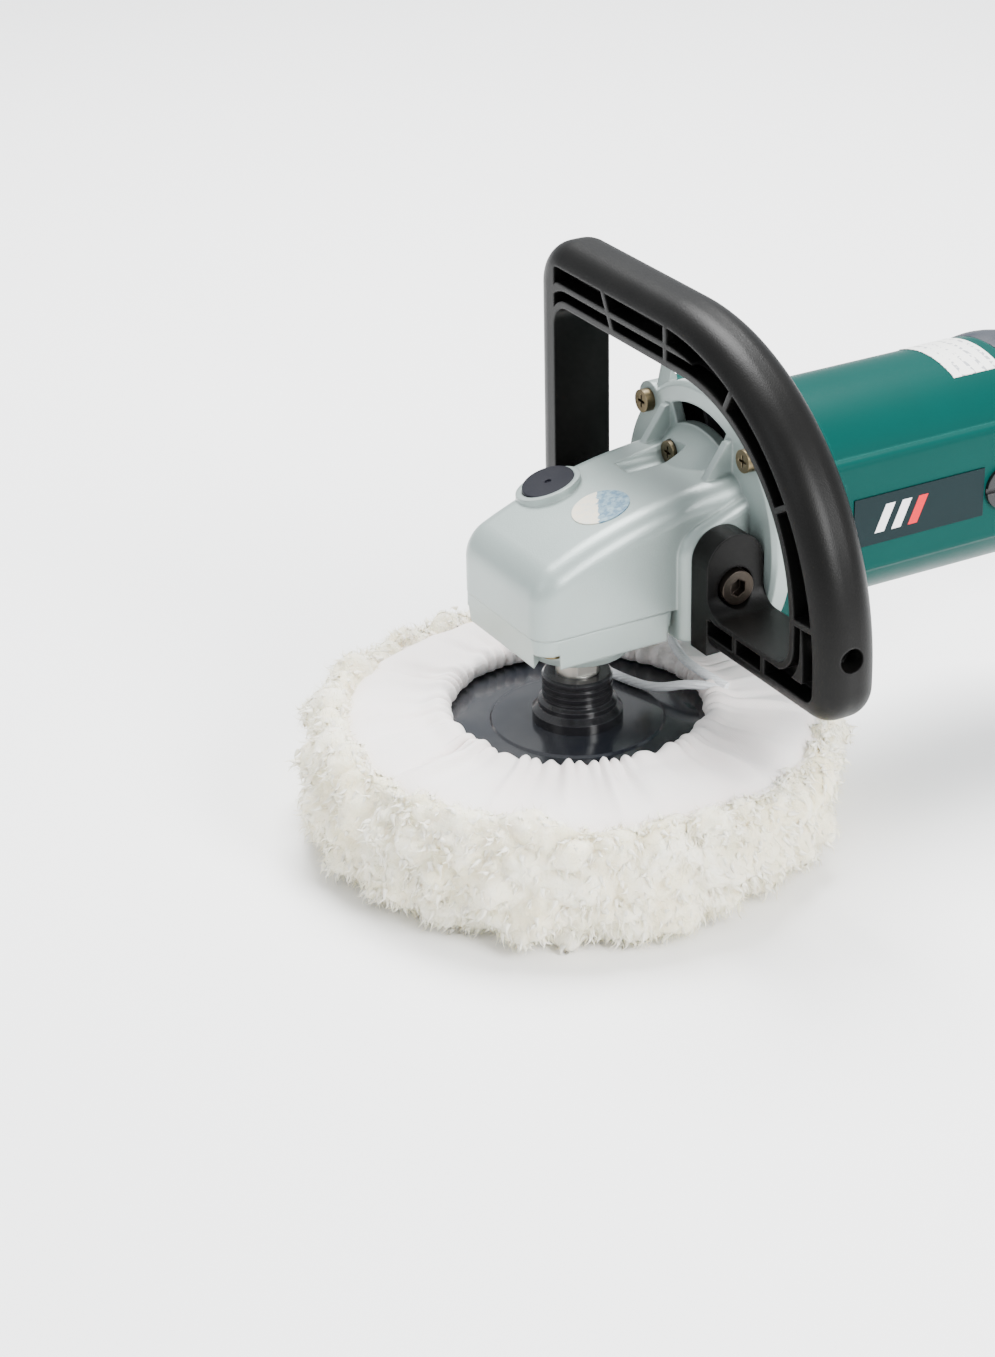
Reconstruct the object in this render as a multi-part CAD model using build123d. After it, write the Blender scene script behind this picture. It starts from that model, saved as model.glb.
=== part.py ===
from build123d import *
import math
import os

os.makedirs("parts", exist_ok=True)

# Rotary polisher: angle gearbox, universal motor, loop handle and tail handle,
# with a wool bonnet drawn over a rubber backing pad.
# Millimetres. The origin is the centre of the polishing face, +Z goes up the spindle
# and +X goes along the motor to the tail. Each function builds one piece in place.

# ------------------------------------------------------------------ fits and clearances
RUN = 0.03           # radial clearance of a shaft in its bearing
SLIDE = 0.10         # clearance around a sliding pin or button
GAP = 0.3            # gap between pieces that move past each other
LOOSE = 0.5          # clearance hole around a screw

# ------------------------------------------------------------------ polishing head
BONNET_R = 104.5     # outside radius of the wool
FACE_EDGE = 20.5     # rounded wool edge outside the flat polishing face
WOOL_T = 31.0        # pile and hide below the backing pad
WOOL_WIDEST = 21.0   # height of the widest point of the wool
PAD_R = 82.5         # rubber backing pad
PAD_T = 12.5
PAD_RING_R = 33.0    # raised disc around the hub
PAD_RING_T = 0.8
MOUTH_R = 46.5       # gathered mouth of the bonnet
HEM_H = 7.5          # height of the gathered hem above the pad
CLOTH_EDGE = 9.0     # where the cloth is sewn on, in from the widest point
HUB_R = 13.2         # grooved hub of the pad
HUB_H = 19.7
HUB_FLANGE_R = 17.0
HUB_FLANGE_T = 6.5
GROOVE_DEPTH = 0.7
GROOVES = 3
THREAD_R = 7.0       # M14 spindle thread
NUT_R = 15.0
NUT_T = 4.5
WASHER_T = 1.5
CORD_D = 3.6         # drawstring

# ------------------------------------------------------------------ spindle and gearbox
NECK_R = 8.1
NECK_H = 9.3         # bare neck between the hub and the bearing box
NECK_FLATS = 14.0    # across the two spanner flats
BOSS_R = 20.5
BOSS_H = 9.5
BOX_H = 12.0
NOSE_HALF = 30.0     # half width of the nose
NOSE_FRONT = 33.0    # spindle axis to the front face
BOX_REAR = 23.4
BOX_DRAFT = 1.0      # the bearing box narrows this much to its bottom
CORNER_R = 8.5       # rounding of the nose, in plan and along its roof
AXIS_RISE = 19.7     # motor axis above the parting line
BEARING_BORE = 6.0   # 12 x 32 x 10 ball bearings
BEARING_OUT = 16.0
BEARING_W = 10.0
BEARING_LIP = 5.5    # floor of the boss under the lower bearing
NEEDLE_SHAFT = 5.0   # upper needle bearing, 10 x 14 x 9
NEEDLE_OUT = 7.0
NEEDLE_L = 9.0
CASE_SCREW_X = 19.2  # the four screws under the bearing box: the rear pair
CASE_SCREW_FRONT = 22.5    # and the front pair
CASE_SCREW_Y = 20.8
SCREW_HEAD_R = 4.4
SCREW_R = 2.5
SCREW_HEAD_T = 3.6

MODULE = 1.25        # straight bevel gears, shaft angle 90 degrees
GEAR_TEETH = 38
PINION_TEETH = 11
FACE_W = 7.0
ADDENDUM = 0.95
DEDENDUM = 1.40
TOOTH_MID = 1.42     # tooth thickness on the pitch circle
GEAR_T = 8.0         # gear body under the teeth
TOOTH_LEDGE = 0.02   # the blanks reach past the teeth's ends by this share of the cone
TOOTH_ROOM = 3.6     # the gear's cavity ends this far below the motor axis

# ------------------------------------------------------------------ gear housing
FRONT_BEND_R = 14.0  # front of the nose rolls into the roof
FRONT_H = 13.5       # upright front face above the parting line
ROOF_START = 25.0    # roof slope at the nose, degrees
ROOF_END = 6.0
ROOF_R = 196.0
BLOCK_HALF = 34.0    # rear block, which carries the loop handle
BLOCK_X = 24.6
BLOCK_DROP = 12.0    # the block reaches this far below the parting line
BLOCK_SHOULDER = 20.5
BLOCK_BEND_R = 12.0
BLOCK_SLOPE = 20.0
FLANGE_R = 50.5
FLANGE_X = 52.5
FLANGE_T = 7.5
FLANGE_SCREW_Y = 34.3
FLANGE_SCREW_Z = 34.6
LUG_R = 7.0
COVER_SCREW_X = 48.5   # seat of the screw at the end of the roof's trough
COVER_SCREW_Y = 9.5
COVER_SCREW_Z = 23.5   # above the motor axis
TROUGH_R = 9.0
TROUGH_X = 46.5        # rear end of the trough
VENT_IN = 35.0       # exhaust window in the flange
VENT_OUT = 43.0
VENT_ANGLE = 25.0
WALL = 4.0

# ------------------------------------------------------------------ shaft lock
LOCK_X = 0.0
LOCK_Y = 20.1
LOCK_RIM_R = 12.0
LOCK_CAP_R = 9.6
LOCK_TRAVEL = 4.0
LOCK_TILT = 8.0        # the rim leans outwards, as the edge of the roof does
LOCK_PIN_R = 2.3
LOCK_PIN_PCD = 12.9  # radius of the pin, and of its holes in the gear
LOCK_HOLES = 4
STICKER_R = 10.5
STICKER_X = 5.0
STICKER_Y = -9.0
STICKER_T = 0.4

# ------------------------------------------------------------------ motor
MOTOR_R = 42.4
MOTOR_HALF = 38.0    # half width between the flat sides
PANEL_LOW = 21.7     # flat side panels, below and above the motor axis
PANEL_HIGH = 25.3
FLARE_R = 50.0
FLARE_L = 16.0
FLARE_TAPER = 16.0
MOTOR_L = 122.0
SHELL = 2.8
REAR_NECK_R = 27.0
REAR_NECK_L = 12.0
REAR_BORE = 4.0      # 8 x 22 x 7 rear bearing
REAR_OUT = 11.0
REAR_W = 7.0
CORE_R = 24.5
CORE_L = 44.0
CORE_X = 92.0
AIR_GAP = 0.8
COIL_L = 8.0
FAN_R = 44.0
FAN_L = 12.0
FAN_BLADES = 16
COMM_R = 13.5
COMM_L = 24.0
BRUSH_X = 165.0
BRUSH_W = 6.4
BRUSH_H = 10.0
BRUSH_CAP_R = 8.6
LABEL_T = 0.5

# ------------------------------------------------------------------ loop handle
LOOP_X = 28.0        # front face of the loop
LOOP_DEPTH = 24.2
LOOP_ROUND = 10.0    # rounding of the grip's front and rear edges
ARCH_Y = -12.0       # centre of the outer arch
ARCH_R = 107.0
LOOP_TOP = 205.8
LOOP_LOW = 80.5
FAR_Y = 77.6
FAR_LEG = 15.0
FAR_CORNER_R = 18.0
FOOT_R = 13.0
HAND_Y = -25.6       # centre of the inner arch
HAND_R = 70.5
HAND_TOP = 182.6
ARM_H = 16.5
BRACKET_T = 10.0
BRACKET_L = 24.0
BRACKET_BOLT_Z = -8.2    # below the motor axis
BOLT_R = 4.0         # M8 socket screw
BOLT_HEAD_R = 6.5
BOLT_HEAD_T = 6.0
BOLT_GRIP = 12.0     # thread in the gear housing
BOLT_RECESS = 3.5    # the heads sit this deep in the ears
POCKET_DEPTH = 8.0
POCKET_EDGE = 2.6
POCKET_RIM = 8.5     # the outer row of pockets lies this far in from the outside
OUTER_POCKET = 6.0
INNER_POCKET = 4.0
RIB = 2.2
GRIP_HOLE_R = 4.5

# ------------------------------------------------------------------ tail handle
TAIL_GAP = 0.6       # seam behind the motor
TAIL_L = 248.0
TAIL_WALL = 2.6
GRIP_W = 39.0
GRIP_H = 47.0
GRIP_DROP = 4.0      # grip centre line below the motor axis
TRIGGER_X = 254.0
TRIGGER_L = 56.0
TRIGGER_W = 15.4
TRIGGER_OUT = 9.0
TRIGGER_PIN_R = 2.0
TRIGGER_PIN_L = 28.4
SWITCH_L = 46.0
SWITCH_W = 22.0
SWITCH_H = 22.0
LOCK_ON_X = 324.0
LOCK_ON_R = 4.5
LOCK_ON_OUT = 3.8
DIAL_X = 402.0
DIAL_R = 12.0
DIAL_T = 7.0
DIAL_OUT = 2.6
GLAND_BORE = 4.2
GLAND_R = 7.6
GLAND_FLANGE_R = 10.5
GLAND_L = 14.0

# ------------------------------------------------------------------ heights and places that follow
PAD_TOP = WOOL_T + PAD_T
HUB_TOP = PAD_TOP + HUB_H
BOX_Z = HUB_TOP + NECK_H
SPLIT_Z = BOX_Z + BOSS_H + BOX_H
AXIS_Z = SPLIT_Z + AXIS_RISE
BEARING_Z = BOX_Z + BEARING_LIP
GEAR_R = MODULE * GEAR_TEETH / 2
PINION_R = MODULE * PINION_TEETH / 2
CONE = math.hypot(GEAR_R, PINION_R)
GEAR_TOP = AXIS_Z - PINION_R
WEB_TOP = GEAR_TOP - 3.5
CAVITY_R = GEAR_R + 1.9
CAVITY_TOP = AXIS_Z - TOOTH_ROOM
FRONT_BEARING_X = GEAR_R + 5.5
MOTOR_X = FLANGE_X + FLANGE_T
MOTOR_END = MOTOR_X + MOTOR_L
TAIL_X = MOTOR_END + TAIL_GAP
TAIL_END = TAIL_X + TAIL_L
GRIP_Z = AXIS_Z - GRIP_DROP
BRACKET_X = LOOP_X + BRACKET_L / 2
BOLT_Z = AXIS_Z + BRACKET_BOLT_Z
NEEDLE_Z = CAVITY_TOP + 2.5


# ------------------------------------------------------------------ helpers
def cyl(radius, low, high, x=0.0, y=0.0):
    """Upright cylinder."""
    solid = Cylinder(radius, high - low, align=(Align.CENTER, Align.CENTER, Align.MIN))
    return Pos(x, y, low) * solid


def cyl_x(radius, low, high, y=0.0, z=AXIS_Z):
    """Cylinder along the motor."""
    solid = Cylinder(radius, high - low, align=(Align.CENTER, Align.CENTER, Align.MIN))
    return Pos(low, y, z) * Rot(0, 90, 0) * solid


def cyl_y(radius, low, high, x, z):
    """Cylinder across the machine."""
    solid = Cylinder(radius, high - low, align=(Align.CENTER, Align.CENTER, Align.MAX))
    return Pos(x, low, z) * Rot(90, 0, 0) * solid


def block(x0, x1, y0, y1, z0, z1):
    """Box between two corners."""
    middle = Pos((x0 + x1) / 2, (y0 + y1) / 2, (z0 + z1) / 2)
    return middle * Box(x1 - x0, y1 - y0, z1 - z0)


def turned(points):
    """Solid turned about the spindle from (radius, height) corners."""
    return revolve(Plane.XZ * make_face(Polyline(*points, close=True)), Axis.Z)


def turned_x(points):
    """Solid turned about the motor axis from (x, radius) corners."""
    lifted = [(x, AXIS_Z + radius) for x, radius in points]
    axis = Axis((0, 0, AXIS_Z), (1, 0, 0))
    return revolve(Plane.XZ * make_face(Polyline(*lifted, close=True)), axis)


def side_plate(lines, y0, y1):
    """Outline drawn in X and Z, as thick as y0 to y1."""
    return extrude(Plane.XZ.offset(-y0) * make_face(lines), -(y1 - y0))


def along(x):
    """Plane across the motor axis at x, drawn in Y and height above the axis."""
    return Plane(origin=(x, 0, AXIS_Z), x_dir=(0, 1, 0), z_dir=(1, 0, 0))


def save(name, *solids):
    """Writes one node. Several solids stay separate in the one file."""
    shape = solids[0] if len(solids) == 1 else Compound(children=list(solids))
    export_step(shape, f"parts/{name}.step")


def ball_bearing(bore, outer, width, balls=8):
    """Two rings with a row of balls, from height 0 up."""
    ring = (outer - bore) / 3
    inner = turned([(bore + RUN, 0), (bore + ring, 0), (bore + ring, width), (bore + RUN, width)])
    race = turned([(outer - ring, 0), (outer, 0), (outer, width), (outer - ring, width)])
    ball = Pos((bore + outer) / 2, 0, width / 2) * Sphere(ring / 2 - 0.02)
    turns = [Rot(0, 0, 360 * n / balls) * ball for n in range(balls)]
    return [inner.solid(), race.solid()] + [turn.solid() for turn in turns]


def coil_spring(radius, wire, length, turns):
    """Helical spring from height 0 up."""
    path = Helix(length / turns, length, radius)
    section = Plane(path @ 0, z_dir=path % 0) * Circle(wire / 2)
    return sweep(section, path, is_frenet=True)


# ------------------------------------------------------------------ polishing head
def wool_bonnet():
    """Wool pad with a flat face and a full round edge, hollow above for the backing pad."""
    edge_x = BONNET_R - FACE_EDGE
    top = PAD_TOP - 1.5
    seam = BONNET_R - CLOTH_EDGE
    outline = [
        Line((0, 0), (edge_x, 0)),
        Spline((edge_x, 0), (BONNET_R, WOOL_WIDEST), (seam, top),
               tangents=((1, 0.05), (-1, 0.9))),
        Line((seam, top), (PAD_R + GAP, top)),
        Line((PAD_R + GAP, top), (PAD_R + GAP, WOOL_T)),
        Line((PAD_R + GAP, WOOL_T), (0, WOOL_T)),
        Line((0, WOOL_T), (0, 0)),
    ]
    return revolve(Plane.XZ * make_face(outline), Axis.Z)


def bonnet_cloth():
    """Cloth skirt over the pad's rim, gathered into a hem around the hub."""
    seam = BONNET_R - CLOTH_EDGE
    base = PAD_TOP - 1.5
    hem_top = PAD_TOP + HEM_H
    outline = [
        Line((seam, base), (PAD_R + GAP, base)),
        Line((PAD_R + GAP, base), (PAD_R + GAP, PAD_TOP)),
        Line((PAD_R + GAP, PAD_TOP), (MOUTH_R, PAD_TOP)),
        Line((MOUTH_R, PAD_TOP), (MOUTH_R, hem_top - 2)),
        ThreePointArc((MOUTH_R, hem_top - 2), (MOUTH_R + 2, hem_top), (MOUTH_R + 5, hem_top - 1)),
        Spline((MOUTH_R + 5, hem_top - 1), (PAD_R - 6, PAD_TOP + 4.5), (seam, base),
               tangents=((1, -0.1), (1, -1))),
    ]
    return revolve(Plane.XZ * make_face(outline), Axis.Z)


# The drawstring leaves the hem on the near side, runs over the pad beside the hub, turns
# back over the cloth on the far side and follows the hem to where it left.
CORD_ROUTE = [
    (53.5, -20.5, 49.5),
    (43.5, -12.5, 51.8),
    (33.5, -1.0, 46.6),
    (28.2, 14.0, 46.2),
    (24.5, 31.0, 46.6),
    (27.0, 48.5, 54.2),
    (38.5, 61.5, 55.2),
    (54.0, 57.5, 55.2),
    (60.0, 41.5, 55.0),
    (56.0, 25.0, 54.8),
    (49.5, 10.0, 54.6),
    (47.0, -5.5, 54.2),
    (53.0, -20.5, 50.8),
]


def route_radii(route):
    """The largest fillet that each corner of a cord's route has room for."""
    points = [Vector(*point) for point in route]
    radii = []
    for before, here, after in zip(points, points[1:], points[2:]):
        come, go = here - before, after - here
        half_turn = math.radians(come.get_angle(go)) / 2
        radii.append(0.45 * min(come.length, go.length) / math.tan(half_turn))
    return radii


def drawstring():
    """Round cord along its route."""
    radii = route_radii(CORD_ROUTE)
    print("drawstring radii", [round(radius, 1) for radius in radii])
    path = FilletPolyline(*CORD_ROUTE, radius=radii)
    cord = sweep(Plane(path @ 0, z_dir=path % 0) * Circle(CORD_D / 2), path)
    section = math.pi * CORD_D ** 2 / 4
    print("drawstring length", round(path.length, 1), "volume / (section x length)",
          round(cord.volume / section / path.length, 4))
    return cord


def backing_pad():
    """Rubber disc with a thinner rim, a raised centre and a recess for the nut below."""
    rim = PAD_T * 0.55
    pad = turned([
        (0, WOOL_T), (PAD_R - 8, WOOL_T), (PAD_R, WOOL_T + PAD_T - rim),
        (PAD_R, PAD_TOP - 1), (PAD_R - 1, PAD_TOP), (0, PAD_TOP),
    ])
    pad += turned([(0, PAD_TOP), (PAD_RING_R, PAD_TOP), (PAD_RING_R - PAD_RING_T, PAD_TOP + PAD_RING_T),
                   (0, PAD_TOP + PAD_RING_T)])
    pad -= cyl(NUT_R + 1.5, WOOL_T - 1, WOOL_T + NUT_T + WASHER_T)
    return pad - cyl(THREAD_R + LOOSE, WOOL_T - 1, PAD_TOP + 2)


def pad_hub():
    """Grooved hub, threaded on the spindle and flanged onto the pad."""
    base = PAD_TOP + PAD_RING_T
    flange_top = PAD_TOP + HUB_FLANGE_T
    hub = turned([
        (0, base), (HUB_FLANGE_R, base), (HUB_FLANGE_R, flange_top - 2),
        (HUB_R + 1.5, flange_top), (HUB_R + 1.5, flange_top + 2), (HUB_R, flange_top + 3),
        (HUB_R, HUB_TOP - 0.8), (HUB_R - 0.8, HUB_TOP), (0, HUB_TOP),
    ])
    band = (HUB_TOP - flange_top - 5) / GROOVES
    for n in range(GROOVES):
        low = flange_top + 4.2 + n * band
        hub -= turned([(HUB_R - GROOVE_DEPTH, low), (HUB_R + 3, low), (HUB_R + 3, low + 1),
                       (HUB_R - GROOVE_DEPTH, low + 1)])
    return hub - cyl(THREAD_R, base - 1, HUB_TOP + 1)


def pad_washer():
    """Steel washer above the clamp nut."""
    low = WOOL_T + NUT_T
    return cyl(NUT_R, low, low + WASHER_T) - cyl(THREAD_R + RUN, low - 1, low + WASHER_T + 1)


def pad_nut():
    """Round nut with two spanner holes, in the recess of the pad."""
    nut = cyl(NUT_R, WOOL_T, WOOL_T + NUT_T) - cyl(THREAD_R, WOOL_T - 1, WOOL_T + NUT_T + 1)
    for side in (-1, 1):
        nut -= cyl(1.8, WOOL_T - 1, WOOL_T + NUT_T + 1, x=side * (NUT_R + THREAD_R) / 2)
    return nut


def spindle():
    """Output spindle: thread, necked flats, bearing seat, gear seat and top journal."""
    shoulder = BEARING_Z
    seat_top = WEB_TOP + 2.6
    top = NEEDLE_Z + NEEDLE_L - 0.5
    shaft = turned([
        (0, WOOL_T + 0.5), (THREAD_R - 1, WOOL_T + 0.5), (THREAD_R, WOOL_T + 1.5), (THREAD_R, HUB_TOP),
        (NECK_R, HUB_TOP), (NECK_R, shoulder), (BEARING_BORE, shoulder), (BEARING_BORE, seat_top),
        (NEEDLE_SHAFT, seat_top), (NEEDLE_SHAFT, top), (0, top),
    ])
    for side in (-1, 1):
        y0, y1 = sorted((side * NECK_FLATS / 2, side * (NECK_R + 2)))
        shaft -= block(-NECK_R, NECK_R, y0, y1, HUB_TOP + 0.8, BOX_Z - 1)
    return shaft


def bevel_tooth(pitch_radius, other_radius, tip, root):
    """One straight tooth of a bevel gear about Z, whose cone has its apex at the origin.

    The tooth lies along the pitch cone on the +X side, and both ends are the same
    section, scaled towards the apex.
    """
    slope = math.atan2(other_radius, pitch_radius)
    out = Vector(math.cos(slope), 0, -math.sin(slope))
    normal = Vector(math.sin(slope), 0, math.cos(slope))
    near = 1 - FACE_W / CONE

    def section(scale):
        plane = Plane(origin=out * (CONE * scale), x_dir=(0, 1, 0), z_dir=out)
        up = 1 if plane.y_dir.dot(normal) > 0 else -1
        corners = [(-root / 2, -DEDENDUM - 0.3), (root / 2, -DEDENDUM - 0.3),
                   (tip / 2, ADDENDUM), (-tip / 2, ADDENDUM)]
        outline = [(u * scale, v * up * scale) for u, v in corners]
        return plane * make_face(Polyline(*outline, close=True))

    return loft([section(1.0), section(near)], ruled=True)


def root_cone(pitch_radius, other_radius, scale):
    """Point on the root cone, as radius and distance below the apex."""
    slope = math.atan2(other_radius, pitch_radius)
    radius = (pitch_radius - DEDENDUM * math.sin(slope)) * scale
    depth = (other_radius + DEDENDUM * math.cos(slope)) * scale
    return radius, depth


def bevel_gear():
    """Driven bevel gear, teeth upwards, with the shaft lock's holes in its web."""
    near = 1 - FACE_W / CONE
    outer_r, outer_d = root_cone(GEAR_R, PINION_R, 1 + TOOTH_LEDGE)
    inner_r, inner_d = root_cone(GEAR_R, PINION_R, near - TOOTH_LEDGE)
    low = AXIS_Z - outer_d - GEAR_T
    gear = turned([
        (0, BEARING_Z + BEARING_W), (BEARING_BORE + 3.5, BEARING_Z + BEARING_W), (BEARING_BORE + 3.5, low),
        (outer_r - 4, low), (outer_r + 0.6, low + 4), (outer_r, AXIS_Z - outer_d),
        (inner_r, AXIS_Z - inner_d), (inner_r - 0.6, WEB_TOP), (0, WEB_TOP),
    ])
    tooth = bevel_tooth(GEAR_R, PINION_R, TOOTH_MID - 0.72, TOOTH_MID + 0.95)
    gear += [Pos(0, 0, AXIS_Z) * Rot(0, 0, 360 * n / GEAR_TEETH) * tooth for n in range(GEAR_TEETH)]
    for n in range(LOCK_HOLES):
        place = Rot(0, 0, lock_angle() + 360 * n / LOCK_HOLES)
        gear -= place * cyl(LOCK_PIN_R + 0.4, low - 1, WEB_TOP + 1, x=LOCK_PIN_PCD)
    return gear - cyl(BEARING_BORE, BEARING_Z, WEB_TOP + 1)


def gear_retaining_ring():
    """Ring that holds the gear down on the spindle."""
    return cyl(BEARING_BORE + 2.2, WEB_TOP, WEB_TOP + 1.2) - cyl(BEARING_BORE, WEB_TOP - 1, WEB_TOP + 2)


def lock_angle():
    """Direction of the shaft lock from the spindle, in degrees."""
    return math.degrees(math.atan2(LOCK_Y, LOCK_X))


# ------------------------------------------------------------------ gearbox castings
def nose_outline(grow=0.0):
    """Side outline of the nose, from the parting line over the rolled front and the roof."""
    front = -NOSE_FRONT - grow
    bend = FRONT_BEND_R + grow
    foot = SPLIT_Z
    face = Line((front, foot), (front, foot + FRONT_H))
    roll = JernArc(face @ 1, (0, 1), bend, -(90 - ROOF_START))
    roof = JernArc(roll @ 1, roll % 1, ROOF_R + grow, -(ROOF_START - ROOF_END))
    back = FLANGE_X + 1
    ramp = (roof @ 1).Y + (back - (roof @ 1).X) * math.tan(math.radians(ROOF_END))
    return [face, roll, roof, Line(roof @ 1, (back, ramp)), Line((back, ramp), (back, foot)),
            Line((back, foot), (front, foot))]


def roof_height(x):
    """Height of the nose's roof at x, on the centre line."""
    bend_x = -NOSE_FRONT + FRONT_BEND_R * (1 - math.sin(math.radians(ROOF_START)))
    bend_z = SPLIT_Z + FRONT_H + FRONT_BEND_R * math.cos(math.radians(ROOF_START))
    centre_x = bend_x + ROOF_R * math.sin(math.radians(ROOF_START))
    centre_z = bend_z - ROOF_R * math.cos(math.radians(ROOF_START))
    return centre_z + math.sqrt(ROOF_R ** 2 - (x - centre_x) ** 2)


def nose():
    """The sloping nose over the bevel gears, rounded along both sides."""
    solid = side_plate(nose_outline(), -NOSE_HALF, NOSE_HALF)
    rims = [edge for edge in solid.edges()
            if abs(abs(edge.center().Y) - NOSE_HALF) < 0.01 and edge.center().X < FLANGE_X
            and edge.center().Z > SPLIT_Z + 1]
    return fillet(rims, CORNER_R)


def rear_block():
    """Wider block behind the nose, with flat sides for the loop handle."""
    foot = SPLIT_Z - BLOCK_DROP
    front = Line((BLOCK_X, foot), (BLOCK_X, SPLIT_Z + BLOCK_SHOULDER))
    bend = JernArc(front @ 1, (0, 1), BLOCK_BEND_R, -(90 - BLOCK_SLOPE))
    back = FLANGE_X + 1
    ramp = (bend @ 1).Y + (back - (bend @ 1).X) * math.tan(math.radians(BLOCK_SLOPE))
    outline = [front, bend, Line(bend @ 1, (back, ramp)), Line((back, ramp), (back, foot)),
               Line((back, foot), (BLOCK_X, foot))]
    solid = side_plate(outline, -BLOCK_HALF, BLOCK_HALF)
    rims = [edge for edge in solid.edges()
            if abs(abs(edge.center().Y) - BLOCK_HALF) < 0.01 and edge.center().X < FLANGE_X
            and edge.center().Z > foot + 1]
    return fillet(rims, 4.5)


def flange_screw_places():
    """The four screws between the gear housing and the motor, as (y, z)."""
    return [(side * FLANGE_SCREW_Y, AXIS_Z + up * FLANGE_SCREW_Z) for side in (-1, 1) for up in (-1, 1)]


def vent_window(x0, x1, middle):
    """Curved window about the motor axis, centred on an angle from +Y."""
    ring = cyl_x(VENT_OUT, x0, x1) - cyl_x(VENT_IN, x0 - 1, x1 + 1)
    wedge = Polyline((0, 0), *[(2 * VENT_OUT * math.cos(math.radians(middle + turn)),
                                2 * VENT_OUT * math.sin(math.radians(middle + turn)))
                               for turn in (-VENT_ANGLE, VENT_ANGLE)], close=True)
    return ring & extrude(along(x0) * make_face(wedge), x1 - x0)


def case_screw_x(end):
    """Place of the front pair (-1) or the rear pair (1) of case screws."""
    return CASE_SCREW_X if end > 0 else -CASE_SCREW_FRONT


def gear_housing():
    """Cast gear housing: nose, rear block, round motor flange and their bores."""
    flange_end = FLANGE_X + FLANGE_T
    body = nose() + rear_block()
    body += turned_x([(36, 0), (36, 22), (FLANGE_X - 3, VENT_IN - 3), (FLANGE_X, VENT_IN - 0.5),
                      (FLANGE_X, FLANGE_R - 1.5), (FLANGE_X + 1.5, FLANGE_R), (flange_end, FLANGE_R),
                      (flange_end, 0)])
    body += cyl(LOCK_RIM_R, SPLIT_Z + 12, roof_height(LOCK_X) + 12, x=LOCK_X, y=LOCK_Y) & lock_slope(1.3, LOCK_TILT)
    for side in (-1, 1):
        rib = [(FLANGE_X - 17, SPLIT_Z + 36), (FLANGE_X + 1, SPLIT_Z + 36), (FLANGE_X + 1, AXIS_Z + 38),
               (FLANGE_X - 2.5, AXIS_Z + 37)]
        body += side_plate(Polyline(*rib, close=True), side * 21 - 1.6, side * 21 + 1.6)
    lift = [(FLANGE_X + 1, AXIS_Z + 38), (FLANGE_X + 6, AXIS_Z + 38), (FLANGE_X + 6, AXIS_Z + 46),
            (FLANGE_X + 3.5, AXIS_Z + 49.5)]
    body += side_plate(Polyline(*lift, close=True), 24.5, 31.5)
    for y, z in flange_screw_places():
        body += cyl_x(LUG_R, FLANGE_X, flange_end, y, z)

    body -= cyl(CAVITY_R, SPLIT_Z - 1, CAVITY_TOP)
    body -= cyl_x(11, 12, FRONT_BEARING_X)
    body -= cyl_x(BEARING_OUT, FRONT_BEARING_X, FRONT_BEARING_X + BEARING_W)
    body -= cyl_x(BEARING_OUT + 4, FRONT_BEARING_X + BEARING_W, flange_end + 1)
    body -= cyl_x(FLANGE_R - 5.5, flange_end - 3.5, flange_end + 1)
    body -= cyl(NEEDLE_OUT, CAVITY_TOP - 1, NEEDLE_Z + NEEDLE_L + 0.5)
    body -= vent_window(FLANGE_X - 6, flange_end, 90)
    body -= vent_window(FLANGE_X - 6, flange_end, 270)
    body -= lock_bore()
    screw_z = AXIS_Z + COVER_SCREW_Z
    body -= cyl_x(SCREW_HEAD_R + 0.3, BLOCK_X, COVER_SCREW_X, COVER_SCREW_Y, screw_z)
    body -= cyl_x(TROUGH_R, BLOCK_X, TROUGH_X, COVER_SCREW_Y - 1.5, screw_z + TROUGH_R - 3)
    body -= cyl_x(SCREW_R, COVER_SCREW_X - 1, flange_end - 5, COVER_SCREW_Y, screw_z)
    for y, z in flange_screw_places():
        body -= cyl_x(SCREW_R + 0.1, FLANGE_X - 1, flange_end + 1, y, z)
        body -= cyl_x(SCREW_HEAD_R + 0.6, FLANGE_X - 12, FLANGE_X, y, z)
    for sx in (-1, 1):
        for sy in (-1, 1):
            body -= cyl(SCREW_R, SPLIT_Z - 1, SPLIT_Z + 11, case_screw_x(sx), sy * CASE_SCREW_Y)
    for side in (-1, 1):
        y0, y1 = sorted((side * (BLOCK_HALF - BOLT_GRIP), side * (BLOCK_HALF + 1)))
        body -= cyl_y(BOLT_R, y0, y1, BRACKET_X, BOLT_Z)
    return body


def lock_slope(lift, lean=0.0):
    """Half space under a plane that follows the roof's slope above the shaft lock."""
    angle = math.degrees(math.atan((roof_height(LOCK_X + 8) - roof_height(LOCK_X - 8)) / 16))
    size = 60
    slab = Box(size, size, size, align=(Align.CENTER, Align.CENTER, Align.MAX))
    return Pos(LOCK_X, LOCK_Y, roof_height(LOCK_X) + lift) * Rot(0, -angle, 0) * Rot(-lean, 0, 0) * slab


def lock_floor():
    """Bottom of the shaft lock's well."""
    return roof_height(LOCK_X) - 13


def lock_pin_place():
    """Centre of the lock pin in plan."""
    angle = math.radians(lock_angle())
    return LOCK_PIN_PCD * math.cos(angle), LOCK_PIN_PCD * math.sin(angle)


def lock_bore():
    """Well of the button with the pin's bore down to the gear."""
    x, y = lock_pin_place()
    well = cyl(LOCK_CAP_R + SLIDE, lock_floor(), roof_height(LOCK_X) + 20, LOCK_X, LOCK_Y)
    return well + cyl(LOCK_PIN_R + SLIDE, CAVITY_TOP - 2, lock_floor() + 1, x, y)


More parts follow.
